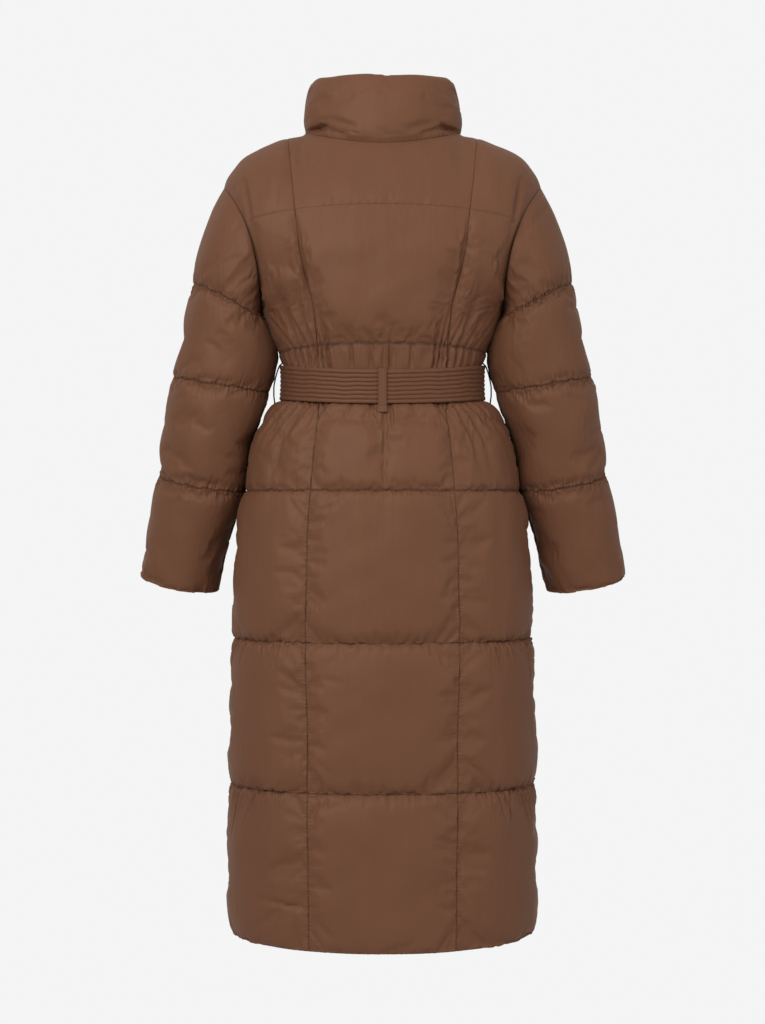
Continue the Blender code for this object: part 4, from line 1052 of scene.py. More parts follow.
def front_panels():
    v = ALL_LEVELS
    one = np.ones_like(v)
    seam, edge = PANEL_SEAM["depth"], CLOSED_GAP / 2
    under_depth = WALL - LAP_LAYER
    over_depth = under_depth - LAP_GAP
    open_part = columns(s_at(FRONT, LAP_SIDE, v), one, 0.31)
    under = [s_at(FRONT, x, v) for x in (-LAP, -LAP / 2, 0.0, LAP / 2, LAP + LAP_STEP[0])]
    over = [s_at(FRONT, x, v) for x in (LAP, LAP / 2, 0.0, -LAP / 2, -LAP - LAP_STEP[1])]
    s_left = np.concatenate([np.stack(under, axis=1), open_part], axis=1)
    s_right = np.concatenate([np.stack(over, axis=1), -open_part], axis=1)[:, ::-1]
    level = repeated(v, s_left.shape[1])
    kept = [0, 2, 4] + [5 + k for k in every(open_part.shape[1], 5)]
    last = s_left.shape[1] - 1

    def left_outer(points, depth):
        return np.where(points[..., 0] < LAP + LAP_STEP[2], under_depth, depth)

    def right_outer(points, depth):
        return np.maximum(depth, FRONT_EDGE_DEPTH * valley(points[..., 0] - LAP, FRONT_EDGE_REACH))

    def right_inner(points):
        return np.where(points[..., 0] > -LAP - LAP_STEP[2], over_depth, WALL)

    left = panel("front_left", FRONT, s_left, level, (0.0, seam), 11, outer_depth=left_outer,
                 kept=kept, gaps=((edge, TURNED_SEAM_GAP), (0.0, edge)))
    right = panel("front_right", FRONT, s_right, level, (seam, 0.0), 12, outer_depth=right_outer,
                  inner_depth=right_inner, kept=sorted(last - k for k in kept),
                  gaps=((edge, TURNED_SEAM_GAP), (edge, 0.0)))
    return left, right


PLANS += front_panels()
print("front pieces:", [plan["node"] for plan in PLANS[-2:]])

# %% [markdown]
# ## The sleeves
# A set-in sleeve starts as the oval of the armhole and turns down into a tube, so its first sections are
# tilted. The sleeve seam runs along the inside of the arm. The rows pucker more here than on the body,
# because the tube is narrow and its cloth is eased onto the lining.


# %% Sleeves
SLEEVE = table("t x y z half_width half_depth tilt lean", """
0 0.2088 0.0035 -0.1705 0.0957 0.0915 72.5 0
0.03 0.221 0.003 -0.198 0.0794 0.09 62 0
0.064 0.2308 0.002 -0.23 0.065 0.087 45 0
0.087 0.2333 0.001 -0.2525 0.0588 0.0835 29 0
0.153 0.2325 0 -0.318 0.0685 0.08 14 0
0.208 0.243 -0.001 -0.3745 0.0722 0.077 9.3 2
0.285 0.2612 -0.005 -0.45 0.066 0.072 9.2 5
0.356 0.273 -0.014 -0.52 0.0659 0.067 9.4 8
0.434 0.29 -0.026 -0.596 0.0615 0.062 10 9
0.513 0.306 -0.038 -0.673 0.0597 0.057 10.9 9""")
SLEEVE_ROWS = table("t depth above below", """
0 0.006 0.02 0.03
0.087 0.0078 0.035 0.04
0.208 0.0078 0.045 0.05
0.356 0.0078 0.045 0.05
0.513 0.0055 0.03 0.03""")
ARMHOLE_BLEND = 0.16  # the sleeve's own tube begins here
SLEEVE_RADIUS = 0.07
SLEEVE_WANDER = 0.0017


def sleeve_point(turn, t):
    """turn: 0 at the outer line of the sleeve, pi at the underarm line, positive round the back."""
    turn, t = np.broadcast_arrays(np.asarray(turn, float), np.asarray(t, float))
    at = {name: smooth(SLEEVE["t"], SLEEVE[name], t) for name in SLEEVE if name != "t"}
    tilt, lean = np.radians(at["tilt"]), np.radians(at["lean"])
    zero = np.zeros_like(tilt)
    out = joined(np.cos(tilt), zero, np.sin(tilt))
    back = joined(zero, np.cos(lean), -np.sin(lean))
    middle = joined(at["x"], at["y"], at["z"])
    reach_out = (at["half_width"] * np.cos(turn))[..., None] * out
    reach_back = (at["half_depth"] * np.sin(turn))[..., None] * back
    return middle + reach_out + reach_back


def seam_level(turn):
    """The level on the armhole seam: the shoulder tip at turn 0, the underarm at pi."""
    return UNDERARM * np.abs(turn) / math.pi


def armhole_ring(turn):
    """The armhole seam at the same turn, from the body's envelope."""
    level = seam_level(turn)
    return np.where((turn > 0)[..., None], *[armhole_point(face, level) for face in (BACK, FRONT)])


def sleeve_surface(turn, t):
    turn, t = np.broadcast_arrays(np.asarray(turn, float), np.asarray(t, float))
    wrapped = (turn + math.pi) % (2 * math.pi) - math.pi
    miss = armhole_ring(wrapped) - sleeve_point(turn, np.zeros_like(t))
    return sleeve_point(turn, t) + miss * (1 - ease(t / ARMHOLE_BLEND))[..., None]


def sleeve_normal(turn, t):
    step = 1e-3
    start = np.clip(t - step, 0, SLEEVE["t"][-1] - 2 * step)
    down = sleeve_surface(turn, start + 2 * step) - sleeve_surface(turn, start)
    around = sleeve_surface(turn + step, t) - sleeve_surface(turn - step, t)
    return unit(np.cross(down, around))


# Where the filled sleeve presses against the body it is fuller: place along it, reach, extra.
FULLER = [(0.118, 0.058, 0.0135), (0.250, 0.055, 0.0036), (0.345, 0.045, 0.0045)]


INNER_ROW_SHARE, END_ROW_SHARE = 0.36, 0.30
SLEEVE_SEAM = {"depth": 0.0034, "reach": 0.018}
CUFF_FULLER = 0.0028


def is_quilt_row(k):
    """The first and last sleeve rows are the armhole and the cuff."""
    return 0 < k < len(SLEEVE_ROWS["t"]) - 1


def sleeve_depth(turn, t, seed):
    across = turn * SLEEVE_RADIUS
    parts, stitched = [], np.zeros_like(t)
    for k, (place, deep, above, below) in enumerate(zip(*SLEEVE_ROWS.values())):
        inside = is_quilt_row(k)
        away = t - place - wander(across, SLEEVE_WANDER if inside else 0.0, 3 * k + seed)
        share = INNER_ROW_SHARE if inside else END_ROW_SHARE
        parts.append(share * deep * valley(away, np.where(away > 0, above, below)))
        if inside:
            stitched = np.maximum(stitched, sharp(away))
    seam_away = (math.pi - np.abs(turn)) * SLEEVE_RADIUS
    parts.append(SLEEVE_SEAM["depth"] * valley(seam_away, SLEEVE_SEAM["reach"]))
    stitched = np.maximum(stitched, sharp(seam_away, 0.0010))
    depth = join_depths(*parts) + loft(across, t, 0.0012, seed) * ease(t / 0.012)
    inner = 0.5 - 0.5 * np.cos(turn)
    fuller = sum(more * sharp(t - place, reach) for place, reach, more in FULLER) * inner**2
    fuller += CUFF_FULLER * ease((t - 0.36) / 0.10) * (1 - inner) ** 2
    at_seam = 1 - ease(t / 0.010)
    depth = depth * (1 - at_seam * (1 - armhole_share(seam_level(turn))))
    return np.clip(depth, -MOST_PROUD, SLEEVE_WALL - THINNEST) - fuller, stitched


def sleeve_puckers(places, seed):
    turn, t = np.moveaxis(places, -1, 0)
    across = turn * SLEEVE_RADIUS
    fine, by_rows = np.zeros_like(t), np.zeros_like(t)
    for k, place in enumerate(SLEEVE_ROWS["t"]):
        inside = is_quilt_row(k)
        away = place - t + wander(across, SLEEVE_WANDER if inside else 0.0, 3 * k + seed)
        strength = 0.62 if inside else 0.15
        fine += puckers(across, away, lambda where: strength, 0.0075, 17 * k + seed, (0.024, 0.040))
        by_rows = np.maximum(by_rows, (0.9 if inside else 0.3) * np.exp(-np.abs(away) / 0.012))
    return fine * ease(t / 0.012), by_rows * ease(t / 0.012), np.zeros_like(t)


def sleeve(node, side, seed):
    t_line = uneven(0.0, SLEEVE["t"][-1], list(SLEEVE_ROWS["t"]), 0.0042, 0.0017, 0.011)
    turns = np.linspace(-math.pi, math.pi, 136, endpoint=False)
    t, turn = np.meshgrid(t_line, turns, indexing="ij")
    points, direction = sleeve_surface(turn, t), sleeve_normal(turn, t)
    level = seam_level(turn)
    sides = [armhole_direction(face, level) for face in (BACK, FRONT)]
    seam_way = np.where((turn > 0)[..., None], *sides)
    share = armhole_share(level)[..., None]
    mixed = unit(direction * (1 - share) + seam_way * share)
    turned = (1 - ease(t / 0.010))[..., None]
    direction = unit(direction * (1 - turned) + mixed * turned)
    depth, stitched = sleeve_depth(turn, t, seed)
    thick = ARMHOLE_WALL + (SLEEVE_WALL - ARMHOLE_WALL) * ease(t / SLEEVE_ROWS["below"][0])
    gaps = (TURNED_SEAM_GAP, 0)
    outer = draw_in(points - direction * depth[..., None], rows=gaps)
    inner = draw_in(points - direction * thick[..., None], rows=gaps)
    for grid in (outer, inner, direction):
        grid[..., 0] *= side
    return {
        "node": node, "outer": outer, "inner": inner, "direction": direction, "depth": depth,
        "uv": joined(turn * SLEEVE_RADIUS + seed, -t), "stitched": stitched, "closed": True,
        "places": joined(turn, t), "puckers": lambda found: sleeve_puckers(found, seed),
        "pinned": with_edges(stitched > 0.55, sides=False), "flip": side == LEFT,
        "rows": every(len(t), 5), "columns": range(0, len(turns), 4), "loose": 0.85 * LOOSE * ease(t / 0.03),
        "lines": [int(np.abs(t_line - place).argmin()) for place in SLEEVE_ROWS["t"][1:-1]],
    }


PLANS += [sleeve("sleeve_left", LEFT, 21), sleeve("sleeve_right", RIGHT, 22)]
print("sleeve rows and columns:", PLANS[-1]["outer"].shape[:2])

# %% [markdown]
# ## The collar
# The stand collar is one thick padded band. Its weight makes it slump a little where neck and shoulder meet,
# so the cloth tucks into a deep fold low at each side. Small puckers run up from the neck seam.


# %% Collar
COLLAR_GAP = 0.0006
COLLAR_HEIGHT = {BACK: 0.099, FRONT: 0.098}
COLLAR_SIDE_HEIGHT, COLLAR_BACK_RISE = 0.083, 0.0050
COLLAR_SECTION = table("out up", """
-0.001 0.07
0 0.22
-0.002 0.45
-0.006 0.68
-0.011 0.86
-0.0165 0.96
-0.023 1
-0.03 0.95
-0.0345 0.82
-0.0335 0.6
-0.0285 0.35
-0.021 0.12""")
COLLAR_OPENING = 0.0025
COLLAR_CREASES = table("x0 z0 x1 z1 width depth", """
0.12 -0.006 0.088 0.003 0.0052 0.0105
0.09 0.001 0.056 -0.011 0.005 0.003
0.07 0.008 0.042 0.001 0.006 0.0014
-0.12 -0.006 -0.09 0.003 0.0052 0.0105
-0.09 0 -0.06 -0.009 0.005 0.003
-0.072 0.007 -0.038 -0.003 0.006 0.0016
-0.0066 0.07 -0.006 0.095 0.0036 0.003
0.01 0.082 0.005 0.095 0.005 0.0012""")


def collar_places():
    """Evenly spaced places once round the neck seam, each as face and s."""
    step = NECK_CORNER / 44
    start = s_at(FRONT, COLLAR_OPENING / 2, np.array([0.0]))[0]
    front = [start] + [step * k for k in range(2, 45)]
    back = [step * k for k in range(43, -44, -1)]
    return [(FRONT, s) for s in front] + [(BACK, s) for s in back] + [(FRONT, -s) for s in front[::-1]]


def collar_section(face, s, out_line, up_line):
    """One upright section of the collar: out of the neck seam, over the top and down inside to the seam."""
    base = top_point(face, np.array(s))
    turn = abs(s) / NECK_CORNER * math.pi / 2
    height = COLLAR_SIDE_HEIGHT + (COLLAR_HEIGHT[face] - COLLAR_SIDE_HEIGHT) * math.cos(turn) ** 2
    height += COLLAR_BACK_RISE * math.cos(turn) ** 3 * (face == BACK)
    depth = CENTRE["back_y"][-1] if face == BACK else CENTRE["front_y"][-1]
    away = unit(np.array([np.sin(turn) / NECK_HALF_WIDTH * np.sign(s), face * np.cos(turn) / depth, 0.0]))
    rows = base + away * out_line[:, None] + np.array([0, 0, 1]) * (COLLAR_GAP + height * up_line)[:, None]
    into = shared_normals(face, np.array([float(s)]), np.zeros(1))[0]
    below, at_seam = body_point(face, s, np.array([-COLLAR_GAP, 0.0]))
    seat = base + unit(at_seam - below) * COLLAR_GAP
    first, end = seat - into * PANEL_SEAM["depth"], seat - into * WALL
    head = [first + (rows[0] - first) * k / 3 for k in range(3)]
    tail = [rows[-1] + (end - rows[-1]) * k / 3 for k in (1, 2, 3)]
    return base, np.concatenate([head, rows, tail])


def collar_tucks(grid, climb):
    """Depth of the collar's folds, which lie on its outside at the back."""
    outside = (climb < 0.115) & (grid[..., 1] > -0.02)

    def taper(share):
        return 0.35 + 0.65 * np.sin(math.pi * (0.10 + 0.75 * share))

    return grooves(grid, COLLAR_CREASES, taper, 0.30) * outside


def collar():
    knots = np.arange(len(COLLAR_SECTION["out"]))
    q = np.linspace(0, knots[-1], 78)
    lines = [smooth(knots, COLLAR_SECTION[name], q) for name in ("out", "up")]
    bases, sections = zip(*[collar_section(face, s, *lines) for face, s in collar_places()])
    grid, bases = np.array(sections), np.array(bases)
    along = repeated(lengths(bases[None])[0], grid.shape[1])
    climb = lengths(grid)
    total = climb[:, -1:]
    normal = unit(np.cross(np.gradient(grid, axis=1), np.gradient(grid, axis=0)))
    normal *= np.sign((normal[:, 30] * (grid[:, 30] - grid.mean(axis=(0, 1)))).sum())
    tucks = collar_tucks(grid, climb)
    near_end = ease((total - climb) / 0.010)
    depth = (loft(along, climb, 0.0014, 5) + tucks) * ease(climb / 0.010) * near_end
    fine = puckers(along, climb, lambda place: 0.42, 0.012, 9)
    fine += puckers(along, total - climb, lambda place: 0.4, 0.013, 10)
    fine *= ease(climb / 0.006) * near_end
    return {
        "node": "collar", "outer": grid - normal * depth[..., None], "direction": normal, "depth": depth,
        # painted shade along the neck seam, through the stitched mark
        "uv": joined(along + 31, climb), "stitched": 0.6 * sharp(climb, 0.0014),
        "places": np.stack([fine, 0.5 * np.exp(-climb / 0.012), np.zeros_like(fine)]),
        "puckers": lambda found: found, "flip": True, "closed": False,
        "pinned": with_edges((climb < 0.007) | (total - climb < 0.010) | (tucks > 0.0030), sides=False),
        "loose": 0.25 * LOOSE * ease(climb / 0.02) * ease((total - climb) / 0.02),
    }


def sew_collar(plan):
    made = Shell()
    index = made.add(plan["outer"], plan["uv"], plan["stitched"], *plan["pulls"])
    made.fill(index, flip=True)
    made.fill(index[:, [0, -1]])
    for end, turned in ((index[0], False), (index[-1], True)):
        back = end[::-1]
        made.take([(end[k], end[k + 1], back[k + 1], back[k]) for k in range(len(end) // 2 - 1)], turned)
    piece = made.to_object("quilted_collar", (SHELL, LINING))
    stands_for(piece, "collar")
    return piece


PLANS.append(collar())
print("collar rows and columns:", PLANS[-1]["outer"].shape[:2])

# %% [markdown]
# ## Filling the cushions
# Down filling pushes the cloth out between the stitch lines, and the thread holds it in along them. The cloth
# between two lines is cut a little larger than the gap that it spans, so it puckers where it is held. A short
# cloth simulation shows this well: the stitch lines are pinned, gravity is off and air presses from inside.
# All the skins run at once, and how far any point may move is limited, so each cushion keeps its place. The
# fine puckers are laid on after that.


# %% Fill
FRAMES = 14  # enough for the cloth to settle
CLOTH = {
    "quality": 4, "mass": 0.004, "tension_stiffness": 12, "compression_stiffness": 12, "shear_stiffness": 4,
    "bending_stiffness": 0.02, "tension_damping": 2, "compression_damping": 2, "shear_damping": 2,
    "bending_damping": 0.1, "air_damping": 1, "use_pressure": True, "uniform_pressure_force": 4.0,
    "shrink_min": -0.035,
}


def air_filled(plans):
    """Each skin's points after its cloth was pressed out by the filling."""
    guides = []
    for plan in plans:
        skin = Shell()
        index = skin.add(plan["outer"])
        skin.fill(index, plan["closed"], plan["flip"])
        guide = skin.to_object("cloth of " + plan["node"], ())
        held = guide.vertex_groups.new(name="sewn")
        held.add(np.flatnonzero(plan["pinned"]).tolist(), 1.0, "REPLACE")
        cloth = guide.modifiers.new("cloth", "CLOTH")
        for name, value in CLOTH.items():
            setattr(cloth.settings, name, value)
        cloth.settings.vertex_group_mass = "sewn"
        cloth.settings.effector_weights.gravity = 0
        cloth.collision_settings.use_collision = False
        cloth.point_cache.frame_start, cloth.point_cache.frame_end = 1, FRAMES
        guides.append(guide)
    for frame in range(1, FRAMES + 1):
        bpy.context.scene.frame_set(frame)
    graph, found = bpy.context.evaluated_depsgraph_get(), []
    for plan, guide in zip(plans, guides):
        points = np.empty(plan["outer"].size)
        guide.evaluated_get(graph).data.vertices.foreach_get("co", points)
        found.append(points.reshape(plan["outer"].shape))
    for guide in guides:
        bpy.data.objects.remove(guide)
    bpy.context.scene.frame_set(1)
    return found


IN_SHARE, OUT_SHARE = 0.7, 0.8  # of what is loose, for moves inwards or along the skin, and outwards


def limited(plan, after):
    """The move of every point, held to what is loose there and never deeper than the wall allows."""
    move = after - plan["outer"]
    out = (move * plan["direction"]).sum(axis=-1)
    along = move - plan["direction"] * out[..., None]
    loose = plan["loose"]
    room = np.minimum(loose * IN_SHARE, np.maximum(WALL - THINNEST - plan["depth"], 0))
    size = np.linalg.norm(along, axis=-1)
    along *= (np.minimum(size, loose * IN_SHARE) / np.maximum(size, 1e-9))[..., None]
    return plan["outer"] + along + plan["direction"] * np.clip(out, -room, OUT_SHARE * loose)[..., None]


def midway(grid, closed, turn=0.0):
    """The grid with a new column halfway between every two, on a smooth curve through the old ones. A closed
    grid's values grow by turn once round it."""
    if closed:
        line = np.concatenate([grid[:, -1:] - turn, grid, grid[:, :2] + turn], axis=1)
        middle = (9 * (line[:, 1:-2] + line[:, 2:-1]) - line[:, :-3] - line[:, 3:]) / 16
    else:
        middle = (grid[:, 1:] + grid[:, :-1]) / 2
        middle[:, 1:-1] = (9 * (grid[:, 1:-2] + grid[:, 2:-1]) - grid[:, :-3] - grid[:, 3:]) / 16
    finer = np.empty((len(grid), grid.shape[1] + middle.shape[1], *grid.shape[2:]))
    finer[:, 0::2], finer[:, 1::2] = grid, middle
    return finer


def make_finer(plan):
    """Twice as many columns, so that the fine creases beside the rows have points enough."""
    once_round = {"uv": (2 * math.pi * SLEEVE_RADIUS, 0.0), "places": (2 * math.pi, 0.0)}
    for name in ("outer", "inner", "direction", "depth", "uv", "stitched", "places"):
        plan[name] = midway(plan[name], plan["closed"], once_round.get(name, 0.0))
    plan["columns"] = [2 * k for k in plan["columns"]]


def sew(plan):
    grids = [plan[name] for name in ("outer", "inner", "rows", "columns")]
    marks = [plan["stitched"], *plan["pulls"]]
    name = "quilted_" + plan["node"]
    piece = shell(name, *grids, (SHELL, LINING), plan["uv"], marks, plan["closed"], plan["flip"])
    for row in plan["lines"]:
        remember(f"{plan['node']} {row}", plan["outer"][row, 1:-1], plan["direction"][row, 1:-1])
    stands_for(piece, plan["node"])
    return piece


started = time.time()
for plan, after in zip(PLANS, air_filled(PLANS)):
    moved = np.linalg.norm(after - plan["outer"], axis=-1)
    print(plan["node"], "moved", np.percentile(moved * 1000, (50, 90, 99)).round(1), "mm")
    plan["outer"] = limited(plan, after)
print("simulated in", round(time.time() - started), "s")
for plan in PLANS:
    if plan["node"] != "collar":
        make_finer(plan)
    fine, *plan["pulls"] = plan["puckers"](plan["places"])
    deep = np.minimum(fine, np.maximum(WALL - THINNEST - plan["depth"], 0))
    plan["outer"] = plan["outer"] - plan["direction"] * deep[..., None]
quilted = [sew_collar(plan) if plan["node"] == "collar" else sew(plan) for plan in PLANS]
print("quilted pieces:", len(quilted), "faces:", sum(len(piece.data.polygons) for piece in quilted))

# %% [markdown]
# ## The belt
# The belt is the same cloth folded over a thin stiffening and sewn with seven lines along its length, which
# leave eight narrow raised channels. It lies pressed against the coat and passes through a carrier behind.


# %% Belt
BELT_CHANNELS = 8
BELT_STEPS = 6  # grid rows in each channel
BELT_SHARES = np.linspace(0, 1, BELT_CHANNELS * BELT_STEPS + 1)
BELT_CLEARANCE, BELT_VALLEY, BELT_CROWN = 0.0004, 0.0034, 0.0048
BELT_END = 0.020  # the q left free at each end, under the knot
BELT_EDGE = 0.0004  # the cloth ends this far inside both edges of the plain belt


def around_waist(q, v):
    """Point and outward direction: q is 0 at the centre back, 1 at the left side and 2 at the front."""
    size = abs(q)
    face = BACK if size <= 1 else FRONT
    s = math.copysign(size if size <= 1 else 2 - size, q)
    return body_point(face, s, v), body_normal(face, s, v)


def sideways(directions):
    """The directions without their rise."""
    return unit(directions * np.array([1, 1, 0]))


def length_of(line):
    """The way along a line of points."""
    return float(np.linalg.norm(np.diff(line, axis=0), axis=-1).sum())


def channel_rise(share):
    """0 on a stitch line and 1 on a channel's crown."""
    return np.abs(np.sin(share * math.pi * BELT_CHANNELS)) ** 0.45


def channel_marks(count):
    """How stitched the belt is, which its cloth shows as painted shade: 1 on its lines, 0 on crowns and
    edges, count times side by side.
    """
    marks = 1 - np.minimum(channel_rise(BELT_SHARES) / 0.55, 1)
    marks[0] = marks[-1] = 0
    return repeated(marks, count)


def belt():
    places = np.linspace(-2 + BELT_END, 2 - BELT_END, 321)
    low, high = BELT_BOTTOM + BELT_EDGE, BELT_TOP - BELT_EDGE
    levels = low + (high - low) * BELT_SHARES
    outer = np.zeros((len(BELT_SHARES), len(places), 3))
    inner, way = np.zeros_like(outer), np.zeros_like(outer)
    rng = np.random.default_rng(3)
    wide = np.linspace(-2, 2, 240)
    ripple = np.array([np.interp(places, wide, rng.normal(0, 1, 240)) for _ in range(BELT_CHANNELS)])
    channel = np.minimum((BELT_SHARES * BELT_CHANNELS).astype(int), BELT_CHANNELS - 1)
    for j, q in enumerate(places):
        sway = 0.0005 * math.sin(q * 19) + 0.0004 * math.sin(q * 43 + 1)
        point, out = around_waist(q, levels + sway * np.sin(math.pi * BELT_SHARES))
        way[:, j] = out = sideways(out)
        rise = (BELT_CROWN - BELT_VALLEY) * channel_rise(BELT_SHARES)
        height = BELT_VALLEY + rise * (1 + 0.16 * ripple[channel, j])
        outer[:, j] = point + out * height[:, None]
        inner[:, j] = point + out * BELT_CLEARANCE
    along = np.repeat(lengths(outer[:1]), len(BELT_SHARES), axis=0)
    uv = joined(along + 41, repeated(BELT_SHARES, len(places)) * (high - low))
    kept = every(len(BELT_SHARES), BELT_STEPS), every(len(places), 4)
    # the stitched mark, which paints shade along the belt's stitch lines
    marks = [channel_marks(len(places))]
    made = shell("stitched_belt", outer, inner, *kept, (BELT_CLOTH, BELT_CLOTH), uv, marks, flip=True)
    for k in range(1, BELT_CHANNELS):
        remember(f"belt {k}", outer[k * BELT_STEPS, 2:-2], way[k * BELT_STEPS, 2:-2])
    stands_for(made, "belt")
    return made, float(along[0, -1])


waist_belt, belt_length = belt()
print("belt round the waist:", round(belt_length, 3), "m")

# %% [markdown]
# ## The tie
# The belt has no buckle. It is tied once in front: the knot is the belt's own cloth wrapped over itself, and
# its two ends hang down over the skirt. A wrap can be made from a rounded block with slanting folds pressed
# in.


# %% Knot and hanging ends
KNOT_THICKNESS, KNOT_SEAT = 0.020, 0.0004
KNOT_HALF = np.array([0.0242, 0.0098, 0.0272])
KNOT_FOLD_WIDTH = 0.0026
KNOT_FOLDS = table("slope place depth", """
0.55 0.0125 0.0026
0.45 0.0015 0.0020
0.62 -0.0105 0.0028
-1.6 0.016 0.0016""")
TAIL_WIDTH, TAIL_THICKNESS, TAIL_CLEARANCE = 0.050, 0.0036, 0.0030
TAILS = table("side x_top x_bottom v_bottom", [(LEFT, 0.016, 0.052, -0.760), (RIGHT, -0.016, -0.046, -0.735)])
TAIL_TOP = -0.4005
TAIL_NECK = 0.60  # the share of its width where an end leaves the knot
TAIL_FALL = {"out": 0.0060, "reach": 0.070}


def knot():
    steps = 96
    turns = np.linspace(0, 2 * math.pi, steps, endpoint=False)
    up, turn = np.meshgrid(np.linspace(-1, 1, 56), turns, indexing="ij")
    lift = np.sin(up * math.pi / 2)
    ring = np.sqrt(np.maximum(1 - np.abs(lift) ** 3.0, 0)) ** 0.8
    x, y = np.sin(turn), np.cos(turn)
    push = (np.abs(x) ** 3 + np.abs(y) ** 3) ** (-1 / 3)
    grid = joined(x * push * ring, y * push * ring, lift) * KNOT_HALF
    fold = np.zeros_like(up)
    for slope, place, deep in zip(*KNOT_FOLDS.values()):
        distance = (grid[..., 2] - place - slope * grid[..., 0]) / math.hypot(1, slope)
        fold += deep * sharp(distance, KNOT_FOLD_WIDTH)
    size = np.linalg.norm(grid * np.array([0.4, 1, 0.4]), axis=-1, keepdims=True)
    grid = grid * np.clip(1 - fold[..., None] / np.maximum(size, 0.006), 0.6, 1)
    waist, _ = around_waist(1.9999, (BELT_TOP + BELT_BOTTOM) / 2)
    y_middle = waist[1] - BELT_CROWN - SEAM_GAP - KNOT_THICKNESS / 2 + KNOT_SEAT
    grid += np.array([0.0, y_middle, waist[2]])
    made = Shell()
    index = made.add(grid[1:-1], joined(turn[1:-1] * 0.02, grid[1:-1, :, 2]))
    made.fill(index, closed=True, flip=True)
    for ring, tip, turned in ((index[0], grid[0, 0], False), (index[-1], grid[-1, 0], True)):
        pole = made.add(tip[None])[0]
        made.take([(pole, ring[k], ring[(k + 1) % steps]) for k in range(steps)], turned)
    piece = made.to_object("tied_knot", (BELT_CLOTH,))
    stands_for(piece, "belt_knot")
    return piece


def belt_end(node, side, x_top, x_bottom, v_bottom):
    v = np.linspace(v_bottom, TAIL_TOP, 121)
    fall = ease((TAIL_TOP - v) / TAIL_FALL["reach"])
    middle = x_top + (x_bottom - x_top) * np.sqrt((v - TAIL_TOP) / (v_bottom - TAIL_TOP))
    width = TAIL_WIDTH * (TAIL_NECK + (1 - TAIL_NECK) * fall)
    level = repeated(v, len(BELT_SHARES))
    from_middle = BELT_SHARES - 0.5
    s = s_at(FRONT, middle[:, None] + from_middle * width[:, None], level)
    point, way = body_point(FRONT, s, level), sideways(body_normal(FRONT, s, level))
    hang = fall[:, None]
    sway = 0.0022 * np.sin((level + 0.4) * 21 + side) + 0.0016 * np.sin(from_middle * 3.0 + level * 30)
    clear = TAIL_CLEARANCE + TAIL_FALL["out"] * (1 - hang) + sway * hang
    dip = 0.0009 * (1 - channel_rise(BELT_SHARES))
    inner = point + way * (clear + dip)[..., None]
    outer = point + way * (clear + TAIL_THICKNESS - dip)[..., None]
    uv = joined(repeated(BELT_SHARES, len(v)).T * TAIL_WIDTH + 51, level)
    kept = every(len(v), 1), every(len(BELT_SHARES), 1)
    marks = [channel_marks(len(v)).T]
    piece = shell("stitched_" + node, outer, inner, *kept, (BELT_CLOTH, BELT_CLOTH), uv, marks)
    for k in range(1, BELT_CHANNELS):
        remember(f"{node} {k}", outer[2:-1, k * BELT_STEPS], way[2:-1, k * BELT_STEPS])
    length = length_of(outer[:, len(BELT_SHARES) // 2])
    stands_for(piece, node)
    return piece


belt_knot = knot()
tails = zip(("belt_tail_left", "belt_tail_right"), zip(*TAILS.values()))
ends = [belt_end(name, *row) for name, row in tails]
print("hanging ends:", [piece.name for piece in ends])

# %% [markdown]
# ## Belt carriers
# A flat cloth carrier is sewn over the belt at the centre back. At each side seam there is only a chain of
# thread, loose enough for the belt to slide through, so it stands away from the coat in a bow.


# %% Carriers
LOOP_WIDTH, LOOP_THICKNESS = 0.0125, 0.002
LOOP_PATH = table("v out", """
-0.3405 0.0006
-0.3435 0.003
-0.346 0.0053
-0.372 0.0056
-0.399 0.0053
-0.4015 0.003
-0.406 0.0008
-0.4135 0.0006""")
THREAD_RADIUS = 0.0009
THREAD_ROUTE = table("x z", """
0.1494 -0.3405
0.1513 -0.3435
0.1544 -0.3465
0.1578 -0.355
0.1612 -0.368
0.163 -0.38
0.163 -0.39
0.1621 -0.3985
0.1611 -0.4074""")


CARRIER_LINE = 0.72  # where its two stitch lines lie, as a share of its half width
STRAND_RADIUS, STRAND_REACH, STRAND_TURNS = THREAD_RADIUS * 0.70, THREAD_RADIUS * 0.60, 14


def back_carrier():
    knots = np.arange(len(LOOP_PATH["v"]))
    fine = np.linspace(0, len(knots) - 1, 71)
    v, lift = smooth(knots, LOOP_PATH["v"], fine), smooth(knots, LOOP_PATH["out"], fine)
    v = np.where(v > BELT_TOP, BELT_TOP + (v - BELT_TOP) * 0.3, v)
    half = s_at(BACK, LOOP_WIDTH / 2, np.array([(BELT_TOP + BELT_BOTTOM) / 2]))[0]
    s = np.linspace(-half, half, 15)[None, :] * np.ones((len(v), 1))
    level = repeated(v, s.shape[1])
    out = sideways(body_normal(BACK, s, level))
    edge = np.abs(s) / half
    inner = body_point(BACK, s, level) + out * lift[:, None, None]
    groove = 0.0004 * sharp(edge - CARRIER_LINE, 0.10) + 0.0006 * ease((edge - 0.85) / 0.15)
    outer = inner + out * (LOOP_THICKNESS - groove)[..., None]
    uv = joined(s * 0.3 + 61, level)
    kept = every(len(v), 1), every(s.shape[1], 1)
    # Painted shade along the carrier's two stitch lines, through the stitched mark.
    marks = [0.5 * sharp(edge - CARRIER_LINE, 0.10)]
    cloth = (BELT_CLOTH, BELT_CLOTH)
    piece = shell("belt_carrier", outer[::-1], inner[::-1], *kept, cloth, uv, marks, flip=True)
    stands_for(piece, "belt_loop_back")
    length = length_of(outer[:, 7])
    return piece


